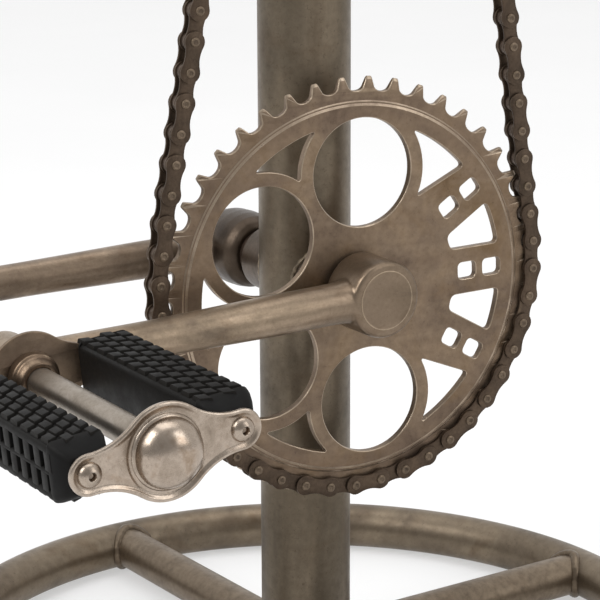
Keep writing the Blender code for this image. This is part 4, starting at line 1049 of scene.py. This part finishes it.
def make_rubber(side, label, name, sign, hub):
    """Rubber tread block: staggered studs above and below, and two rows of deep slots on its outer side."""
    low_x, high_x = PEDAL_INNER_X + PLATE_THICKNESS + 0.4 * MM, PEDAL_OUTER_X - PLATE_THICKNESS - 0.4 * MM
    inner_y, outer_y = BLOCK_CENTRE - BLOCK_HALF_WIDTH, BLOCK_CENTRE + BLOCK_HALF_WIDTH
    core_y, core_z = outer_y - 2.2 * MM, BLOCK_HALF_HEIGHT - TREAD
    bm = bmesh.new()

    def block(y0, y1, z0, z1, x0, x1, soft):
        corners = [Vector(c) for c in ((y0, z0), (y1, z0), (y1, z1), (y0, z1))]
        add_plate(bm, [soften(corners, soft, steps=3)], x0, x1, min(0.5 * MM, soft * 0.5))

    def stud(centre_x, half_x, y0, y1, z_side):
        base, top = core_z - 0.3 * MM, BLOCK_HALF_HEIGHT
        rows = []
        for height, shrink in ((base, -0.15), (top - 0.5 * MM, 0.12), (top - 0.1 * MM, 0.30), (top, 0.65)):
            s = shrink * MM
            loop = [(centre_x - half_x + s, y0 + s), (centre_x + half_x - s, y0 + s),
                    (centre_x + half_x - s, y1 - s), (centre_x - half_x + s, y1 - s)]
            rows.append([bm.verts.new((x + (y - y0) * STUD_SLANT, y, z_side * height)) for x, y in loop])
        loft(bm, rows)

    def cap(tip_x, root_x):
        """Smooth end of the block, drawn in to the size of the plate's lobe."""
        rings = []
        for share, across, height, soft in CAP_SECTIONS:
            y, z = BLOCK_HALF_WIDTH * across, BLOCK_HALF_HEIGHT * height
            corners = [Vector(c) for c in ((-y, -z), (y, -z), (y, z), (-y, z))]
            loop = [p + Vector((BLOCK_CENTRE, 0.0)) for p in soften(corners, y * soft, steps=5)]
            rings.append(new_ring(bm, loop, tip_x + (root_x - tip_x) * share, ALONG_X))
        loft(bm, rings)

    first, last = low_x + CAP_LENGTH * 0.6, high_x - CAP_LENGTH
    cap(low_x, first)
    cap(high_x, last)
    start, stop = first - 1 * MM, last + 1 * MM
    block(inner_y, core_y, -core_z, core_z, start, stop, 2.4 * MM)
    for low, high, soft in ((core_z - 3.2 * MM, core_z, 1.2), (-core_z, 3.2 * MM - core_z, 1.2),
                            (-1.0 * MM, 1.0 * MM, 0.8)):
        block(core_y - 3 * MM, outer_y, low, high, start, stop, soft * MM)
    step = (last - first) / STUD_COLUMNS
    row = (outer_y - inner_y - 2.4 * MM) / 4
    for k in range(STUD_COLUMNS + 1):
        for line in range(4):
            x = first + (k + (0.5 if line % 2 else 0.0)) * step
            if x > last + 0.5 * MM:
                continue
            y = inner_y + 1.2 * MM + line * row
            for z_side in (-1, 1):
                stud(x - 1 * MM, step * 0.35, y + 0.30 * MM, y + row - 0.30 * MM, z_side)
        for line, z0, z1 in ((0, 0.4 * MM, core_z - 2 * MM), (1, 2 * MM - core_z, -0.4 * MM)):
            x = first + (k + (0.5 if line else 0.0)) * step
            if x < last + 0.5 * MM:
                block(core_y - 2 * MM, outer_y, z0, z1, x - step * 0.30, x + step * 0.30, 0.6 * MM)
    piece("{}_{}_tread".format(label, name), bm, "rubber", "{}_pedal_{}_rubber".format(label, name), sharp=32.0,
          at=hub @ Matrix.Diagonal((side, sign, 1, 1)))


def make_pedal(side, label):
    node = label + "_pedal_"
    hub = pedal_hub(label)
    front = PEDAL_OUTER_X
    inner_face, outer_face = PEDAL_INNER_X + PLATE_THICKNESS, PEDAL_OUTER_X - PLATE_THICKNESS

    def turned(name, finish, profile, stands_for, count=64, offset=0.0, closed=False, extra=False):
        bm = fresh(add_turned, [(side * t, r) for t, r in profile], count, centre=(offset, 0.0), closed=closed)
        piece("{}_{}".format(label, name), bm, finish, node + stands_for, extra, at=hub)

    outer = fresh(add_pressed_plate, side, outer_face, front, 15.9 * MM)
    piece(label + "_cage_outer", outer, "nickel", node + "outer_plate", at=hub)
    low, high = sorted((side * PEDAL_INNER_X, side * inner_face))
    inner = fresh(add_plate, [dog_bone(), circle(6.1 * MM, 48)], low, high, 0.5 * MM)
    piece(label + "_cage_inner", inner, "ring", node + "inner_plate", at=hub)
    base = front - 0.9 * MM
    dome = [(base + t * MM, r * MM)
            for t, r in ((-0.2, 0.0), (-0.2, 13.7), (0.3, 13.9), (0.8, 13.6), (1.1, 13.1))]
    for k in range(14):
        turn = k / 14 * math.pi / 2
        dome.append((base + 1.2 * MM + 8.9 * MM * math.sin(turn), 12.9 * MM * math.cos(turn) ** 0.9))
    dome.append((base + 1.2 * MM + 8.9 * MM, 0.0))
    turned("bearing_cap", "nickel", dome, "dust_cap", 96)
    sleeve = tube_profile(SLEEVE_RADIUS, 5.15 * MM, inner_face + 0.3 * MM, outer_face - 0.3 * MM, 0.4 * MM)
    turned("spindle_sleeve", "sleeve", sleeve, "sleeve", closed=True)
    bush = tube_profile(5.1 * MM, 4.7 * MM, inner_face + 0.4 * MM, outer_face - 0.4 * MM, 0.2 * MM)
    turned("spindle_bush", "bronze", bush, "bush", closed=True)
    collar = [(74.1, 6.1), (74.1, 9.4), (75.7, 10.3), (80.8, 10.3), (80.8, 6.1)]
    ring = [(83.4, 5.8), (83.4, 10.4), (87.2, 10.2), (88.2, 9.0), (90.8, 8.2), (91.6, 7.4), (91.6, 5.8)]
    for name, profile, extra in (("spindle_collar", collar, False), ("sleeve_ring", ring, True)):
        loop = soften([Vector(p) for p in in_mm(profile)], 0.5 * MM)
        turned(name, "bronze", loop, "collar", closed=True, extra=extra)
    head = front - 0.75 * MM
    rivet = [(head + t * MM, r * MM) for t, r in (
        (0.0, 0.0), (0.0, 4.5), (0.35, 4.6), (1.0, 4.35), (1.8, 3.7), (2.45, 2.8), (2.85, 2.0), (2.9, 1.65),
        (2.6, 1.35), (0.9, 1.0), (0.7, 0.0))]
    rod = in_mm([(77.5, 0.0), (77.5, 4.5), (80.9, 4.5), (80.9, 2.6)]) + [(head, 2.6 * MM), (head, 0.0)]
    for name, sign in (("front", -1), ("rear", 1)):
        offset = sign * LOBE_OFFSET
        turned(name + "_rivet", "nickel", rivet, name + "_tie_rod", 48, offset)
        turned(name + "_tie_rod", "sleeve", round_profile(rod, 0.4 * MM), name + "_tie_rod", 32, offset,
               extra=True)
        make_rubber(side, label, name, sign, hub)


def make_spindle(side, label):
    profile = [(55.5, 0.0), (55.5, 6.4), (71.85, 6.4), (71.85, 9.4), (73.1, 9.4), (73.35, 8.8), (73.35, 4.6),
               (189.1, 4.6), (189.1, 0.0)]
    spindle = fresh(add_turned, round_profile(in_mm(profile, side), 0.4 * MM), 48)
    piece(label + "_spindle", spindle, "sleeve", label + "_pedal_spindle", at=pedal_hub(label))


# ---------------------------------------------------------------- seat

def make_post_head():
    bush = in_mm([(555.5, 18.1), (625.8, 18.1), (625.8, 20.5), (629.2, 20.5), (629.2, 13.0), (555.5, 13.0)])
    loop = soften([Vector(p) for p in bush], 0.7 * MM)
    piece("seat_bush", fresh(add_turned, loop, 96, ALONG_Z, closed=True), "roller", "post_bush")
    low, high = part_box("clamp_collar")
    radius, inner, split, ear, reach = 25.2 * MM, 20.9 * MM, 1.5 * MM, 8.0 * MM, 37.4 * MM
    back = math.pi / 2
    shoulder = math.asin(ear / radius)
    turn = math.asin(split / inner)
    outline = arc((0, 0), radius, back + shoulder, back + math.tau - shoulder, 72)
    outline += [Vector((ear, reach)), Vector((split, reach))]
    outline += arc((0, 0), inner, back + math.tau - turn, back + turn, 72)
    outline += [Vector((-split, reach)), Vector((-ear, reach))]
    collar = fresh(add_plate, [soften(outline, 1.6 * MM, limit=40)], low.z, high.z, 0.9 * MM, ALONG_Z, 3)
    piece("seat_clamp", collar, "nickel", "clamp_collar")
    middle = (low.z + high.z) / 2
    skewer = in_mm([(-14.2, 0.0), (-14.2, 5.2), (-8.4, 5.2), (-8.4, 2.8), (8.8, 2.8), (8.8, 0.0)])
    bolt = fresh(add_turned, round_profile(skewer, 0.6 * MM), 40, centre=(31 * MM, middle))
    piece("seat_clamp_bolt", bolt, "nickel", "clamp_skewer")
    pivot = Vector((16.5 * MM, 31 * MM))
    cam = [Vector(p) + pivot for p in in_mm([(-6.0, 4.0), (-3.4, 6.0), (0.0, 6.5), (3.4, 6.0), (6.0, 3.5),
                                             (-6.0, -4.0)])]
    outline = cam[:-1] + arc((0, 0), 36.4 * MM, math.radians(34), math.radians(-32), 30)
    outline += arc((0, 0), 32.1 * MM, math.radians(-32), math.radians(28), 30) + cam[-1:]
    lever = fresh(add_plate, [soften(outline, 2.2 * MM, limit=25)], middle - 5.9 * MM, middle + 5.9 * MM,
                  1.4 * MM, ALONG_Z, 3)
    piece("quick_lever", lever, "nickel", "clamp_lever")


def make_seat_post():
    tube = tube_profile(12.6 * MM, 10.5 * MM, 460.5 * MM, 655.5 * MM, 0.5 * MM)
    piece("seat_tube", fresh(add_turned, tube, 96, ALONG_Z, closed=True), "sleeve", "seat_post")

    def body(bm):
        profile = in_mm([(635.7, 0.0), (635.7, 15.8), (660.5, 15.8)]) + [(TILT_Z, 12 * MM), (TILT_Z, 0.0)]
        add_turned(bm, profile, 72, ALONG_Z)

    def barrel(bm):
        profile = in_mm([(-15.9, 0.0), (-15.9, 13.3), (15.9, 13.3), (15.9, 0.0)])
        add_turned(bm, profile, 72, centre=(0.0, TILT_Z))

    bm = merged("clamp_head_skin", [body, barrel], 0.7 * MM)
    relax(bm, lambda place: 0.35 if abs(place.z - TILT_Z + 11 * MM) < 8 * MM else 0.12, 6)
    piece("seat_clamp_head", bm, "post", "saddle_clamp_head", sharp=60.0)


def rail_points(sign):
    """Bent rail from the nose bracket through the clamp to the cantle plate."""
    route = [(6.6, -128, 30), (7.4, -116, 25), (11.5, -85, 9), (19, -52, 0.5), (21, -35, 0), (21, 35, 0),
             (24, 52, 2), (34, 78, 14), (41, 94, 26)]
    return [Vector((sign * x * MM, y * MM, TILT_Z + (10.5 + z) * MM)) for x, y, z in route]


def saddle_surface(u, v):
    """Point of the leather's outer surface: u runs from nose to back, v from side to side."""
    y = (-150 + 280 * u) * MM
    flare = 1 / (1 + math.exp(-(u - 0.62) * 13))
    nose = math.sin(min((u + 0.04) / 0.16, 1.0) * math.pi / 2)
    tail = math.sin(min((1.05 - u) / 0.20, 1.0) * math.pi / 2)
    half = (22.5 + 8.0 * u + 76 * flare) * MM * (0.35 + 0.65 * nose * tail)
    turn = v * math.radians(100)
    x = half * math.sin(turn) / math.sin(math.radians(100)) * (1 - 0.10 * abs(v) ** 6)
    skirt = (34 - 12 * flare) * MM * (1 - math.cos(turn * 0.9)) + 12 * MM * flare * v * v
    ends = 20 * MM * max(0.0, (u - 0.86) / 0.14) ** 2 + 14 * MM * max(0.0, (0.07 - u) / 0.07) ** 2
    return Vector((x, y, TILT_Z + (77 - 10 * math.sin(math.pi * u)) * MM - skirt - ends))


def saddle_normal(u, v):
    a = saddle_surface(u + 0.005, v) - saddle_surface(u - 0.005, v)
    b = saddle_surface(u, v + 0.01) - saddle_surface(u, v - 0.01)
    return b.cross(a).normalized() * -1


def make_leather():
    rows, columns = 120, 72
    bm = bmesh.new()
    thickness = 4.5 * MM
    outer, inner = [], []
    for i in range(rows + 1):
        u = i / rows
        top, under = [], []
        for j in range(columns + 1):
            v = 2 * j / columns - 1
            place, out = saddle_surface(u, v), saddle_normal(u, v)
            out = out if out.z > -0.2 or abs(v) > 0.8 else -out
            rim = max(0.0, 1 - min(u, 1 - u) * rows / 3, 1 - (1 - abs(v)) * columns / 2 / 3)
            sink = (0.15 + 0.9 * rim ** 2) * MM
            top.append(bm.verts.new(place - out * sink))
            under.append(bm.verts.new(place - out * (thickness - 0.8 * rim ** 2 * MM)))
        outer.append(top)
        inner.append(under)
    for i in range(rows):
        for j in range(columns):
            bm.faces.new((outer[i][j], outer[i][j + 1], outer[i + 1][j + 1], outer[i + 1][j]))
            bm.faces.new((inner[i][j], inner[i + 1][j], inner[i + 1][j + 1], inner[i][j + 1]))
    border = [(0, j) for j in range(columns)] + [(i, columns) for i in range(rows)]
    border += [(rows, j) for j in range(columns, 0, -1)] + [(i, 0) for i in range(rows, 0, -1)]
    for (a, b), (c, d) in zip(border, border[1:] + border[:1]):
        bm.faces.new((outer[a][b], inner[a][b], inner[c][d], outer[c][d]))
    leather = piece("saddle_top", bm, "leather", "saddle_leather", sharp=55.0)


def make_saddle_rivets():
    bm = bmesh.new()
    places = [(0.955, v) for v in (-0.62, -0.31, 0.0, 0.31, 0.62)] + [(0.045, v) for v in (-0.45, 0.0, 0.45)]
    head = in_mm([(-0.3, 0.0), (-0.3, 4.2), (0.2, 4.25), (0.6, 3.6), (0.85, 2.4), (0.95, 0.0)])
    for u, v in places:
        out = saddle_normal(u, v)
        turn = out.to_track_quat("Z", "Y").to_matrix().to_4x4()
        add_turned(bm, head, 32, Matrix.Translation(saddle_surface(u, v) - out * 0.4 * MM) @ turn)
    piece("saddle_rivets", bm, "bronze", "tilt_bolt", extra=True)


def make_saddle():
    make_leather()
    make_saddle_rivets()
    for sign, label in ((-1, "left"), (1, "right")):
        rail = fresh(add_sweep, smooth_path(rail_points(sign), 10), 3.45 * MM, 24)
        piece("saddle_rail_" + label, rail, "sleeve", label + "_rail")
        low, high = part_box(label + "_rail_clamp")
        clamp = fresh(add_plate, [circle(15.8 * MM, 72, (0.0, TILT_Z))], low.x, high.x, 1.2 * MM, steps=3)
        piece("rail_clamp_" + label, clamp, "post", label + "_rail_clamp")
        low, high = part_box(label + "_tilt_nut")
        hexagon = soften(circle(7.9 * MM, 6, (0.0, TILT_Z)), 0.8 * MM)
        piece("tilt_nut_" + label, fresh(add_plate, [hexagon], low.x, high.x, 0.8 * MM), "nickel",
              label + "_tilt_nut")
    low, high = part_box("tilt_bolt")
    shank = round_profile([(low.x, 0.0), (low.x, 3.9 * MM), (high.x, 3.9 * MM), (high.x, 0.0)], 0.8 * MM)
    piece("tilt_bolt_shank", fresh(add_turned, shank, 32, centre=(0.0, TILT_Z)), "nickel", "tilt_bolt")
    low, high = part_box("nose_bracket")
    soft = 0.8 * MM
    outline = [Vector(p) for p in ((low.x, low.y), (high.x, low.y), (high.x, high.y), (low.x, high.y))]
    bracket = fresh(add_plate, [soften(outline, soft, steps=2)], low.z, high.z, soft * 0.6, ALONG_Z)
    piece("saddle_nose_bracket", bracket, "sleeve", "nose_bracket")
    low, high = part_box("cantle_plate")
    back = rail_points(1)[-1].y - 74 * MM
    outline = arc((0, back), 90.6 * MM, math.radians(42), math.radians(138), 48)
    outline += arc((0, back), 94.4 * MM, math.radians(138), math.radians(42), 48)
    cantle = fresh(add_plate, [soften(outline, 1.5 * MM)], low.z, high.z, 0.8 * MM, ALONG_Z)
    piece("saddle_cantle", cantle, "sleeve", "cantle_plate")


# ---------------------------------------------------------------- camera, floor and light

def make_camera():
    a, e = CAMERA_AZIMUTH, CAMERA_ELEVATION
    back = Vector((math.sin(a) * math.cos(e), -math.cos(a) * math.cos(e), math.sin(e)))
    right = Vector((0, 0, 1)).cross(back).normalized()
    up = back.cross(right)
    c, s = math.cos(CAMERA_ROLL), math.sin(CAMERA_ROLL)
    right, up = right * c + up * s, up * c - right * s
    data = bpy.data.cameras.new("camera")
    data.sensor_width = 36.0
    data.lens = CAMERA_LENS
    data.clip_start, data.clip_end = 0.01, 50.0
    camera = bpy.data.objects.new("camera", data)
    camera.matrix_world = Matrix.Translation(CAMERA_PLACE) @ Matrix((right, up, back)).transposed().to_4x4()
    bpy.context.scene.collection.objects.link(camera)
    bpy.context.scene.camera = camera


def add_light(name, place, target, size, power, colour=(1.0, 1.0, 1.0)):
    data = bpy.data.lights.new(name, "AREA")
    data.shape = "RECTANGLE"
    data.size, data.size_y = size
    data.energy = power
    data.color = colour
    light = bpy.data.objects.new(name, data)
    light.location = place
    light.rotation_mode = "QUATERNION"
    light.rotation_quaternion = (Vector(place) - Vector(target)).to_track_quat("Z", "Y")
    bpy.context.scene.collection.objects.link(light)


def make_stage():
    scene = bpy.context.scene
    scene.view_settings.view_transform = "Standard"
    bm = bmesh.new()
    corners = [bm.verts.new(p) for p in ((-6, -6, 0), (6, -6, 0), (6, 6, 0), (-6, 6, 0))]
    bm.faces.new(corners)
    mesh = bpy.data.meshes.new("floor")
    bm.to_mesh(mesh)
    bm.free()
    g = Graph("pale_floor")
    tone = g.ramp(g.noise(3.0), [(0.3, (0.42, 0.42, 0.42)), (0.7, (0.44, 0.44, 0.44))])
    mesh.materials.append(g.finish(tone, 0.7, g.bump(g.noise(300.0), 0.00002), Metallic=0.0,
                                   Emission_Color=(1.0, 1.0, 1.0, 1.0), Emission_Strength=0.48))
    floor = bpy.data.objects.new("floor", mesh)
    scene.collection.objects.link(floor)
    make_world(scene)
    add_light("key", (0.2, -1.5, 1.5), (0, 0, 0.2), (1.0, 1.2), 20)
    add_light("fill", (1.6, 0.9, 1.1), (0, 0, 0.2), (0.8, 1.4), 8)
    add_light("top", (0.0, 0.2, 2.2), (0, 0, 0.0), (1.6, 1.6), 14)


def make_world(scene):
    """Pale surroundings, brighter above and behind the object than in front of it."""
    world = bpy.data.worlds.new("studio")
    world.use_nodes = True
    scene.world = world
    tree = world.node_tree
    nodes, links = tree.nodes, tree.links
    shader = nodes["Background"]
    place = nodes.new("ShaderNodeTexCoord").outputs["Generated"]
    facing = nodes.new("ShaderNodeVectorMath")
    facing.operation = "DOT_PRODUCT"
    links.new(place, facing.inputs[0])
    facing.inputs[1].default_value = (-math.sin(CAMERA_AZIMUTH), math.cos(CAMERA_AZIMUTH), 0.25)
    ramp = nodes.new("ShaderNodeMapRange")
    ramp.interpolation_type = "SMOOTHSTEP"
    links.new(facing.outputs["Value"], ramp.inputs["Value"])
    for key, value in (("From Min", -0.9), ("From Max", 0.95), ("To Min", 0.42), ("To Max", 1.05)):
        ramp.inputs[key].default_value = value
    seen = nodes.new("ShaderNodeLightPath").outputs["Is Camera Ray"]
    mix = nodes.new("ShaderNodeMix")
    links.new(seen, mix.inputs[0])
    links.new(ramp.outputs["Result"], mix.inputs[2])
    mix.inputs[3].default_value = 0.96
    shader.inputs["Color"].default_value = (1.0, 1.0, 1.0, 1.0)
    links.new(mix.outputs[0], shader.inputs["Strength"])


# ---------------------------------------------------------------- all of it

def main():
    make_camera()
    make_stage()
    low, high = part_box("upper_sprocket")
    path = ChainPath((low.z + high.z) / 2 - AXLE_Z)
    make_post()
    make_base()
    make_axle_parts()
    make_chainring()
    make_chain(path)
    make_upper_drive(path)
    for side, label, boss in ((1, "right", RIGHT_BOSS), (-1, "left", LEFT_BOSS)):
        make_crank(side, label, boss)
        make_spindle(side, label)
        make_pedal(side, label)
    make_post_head()
    make_seat_post()
    make_saddle()


main()
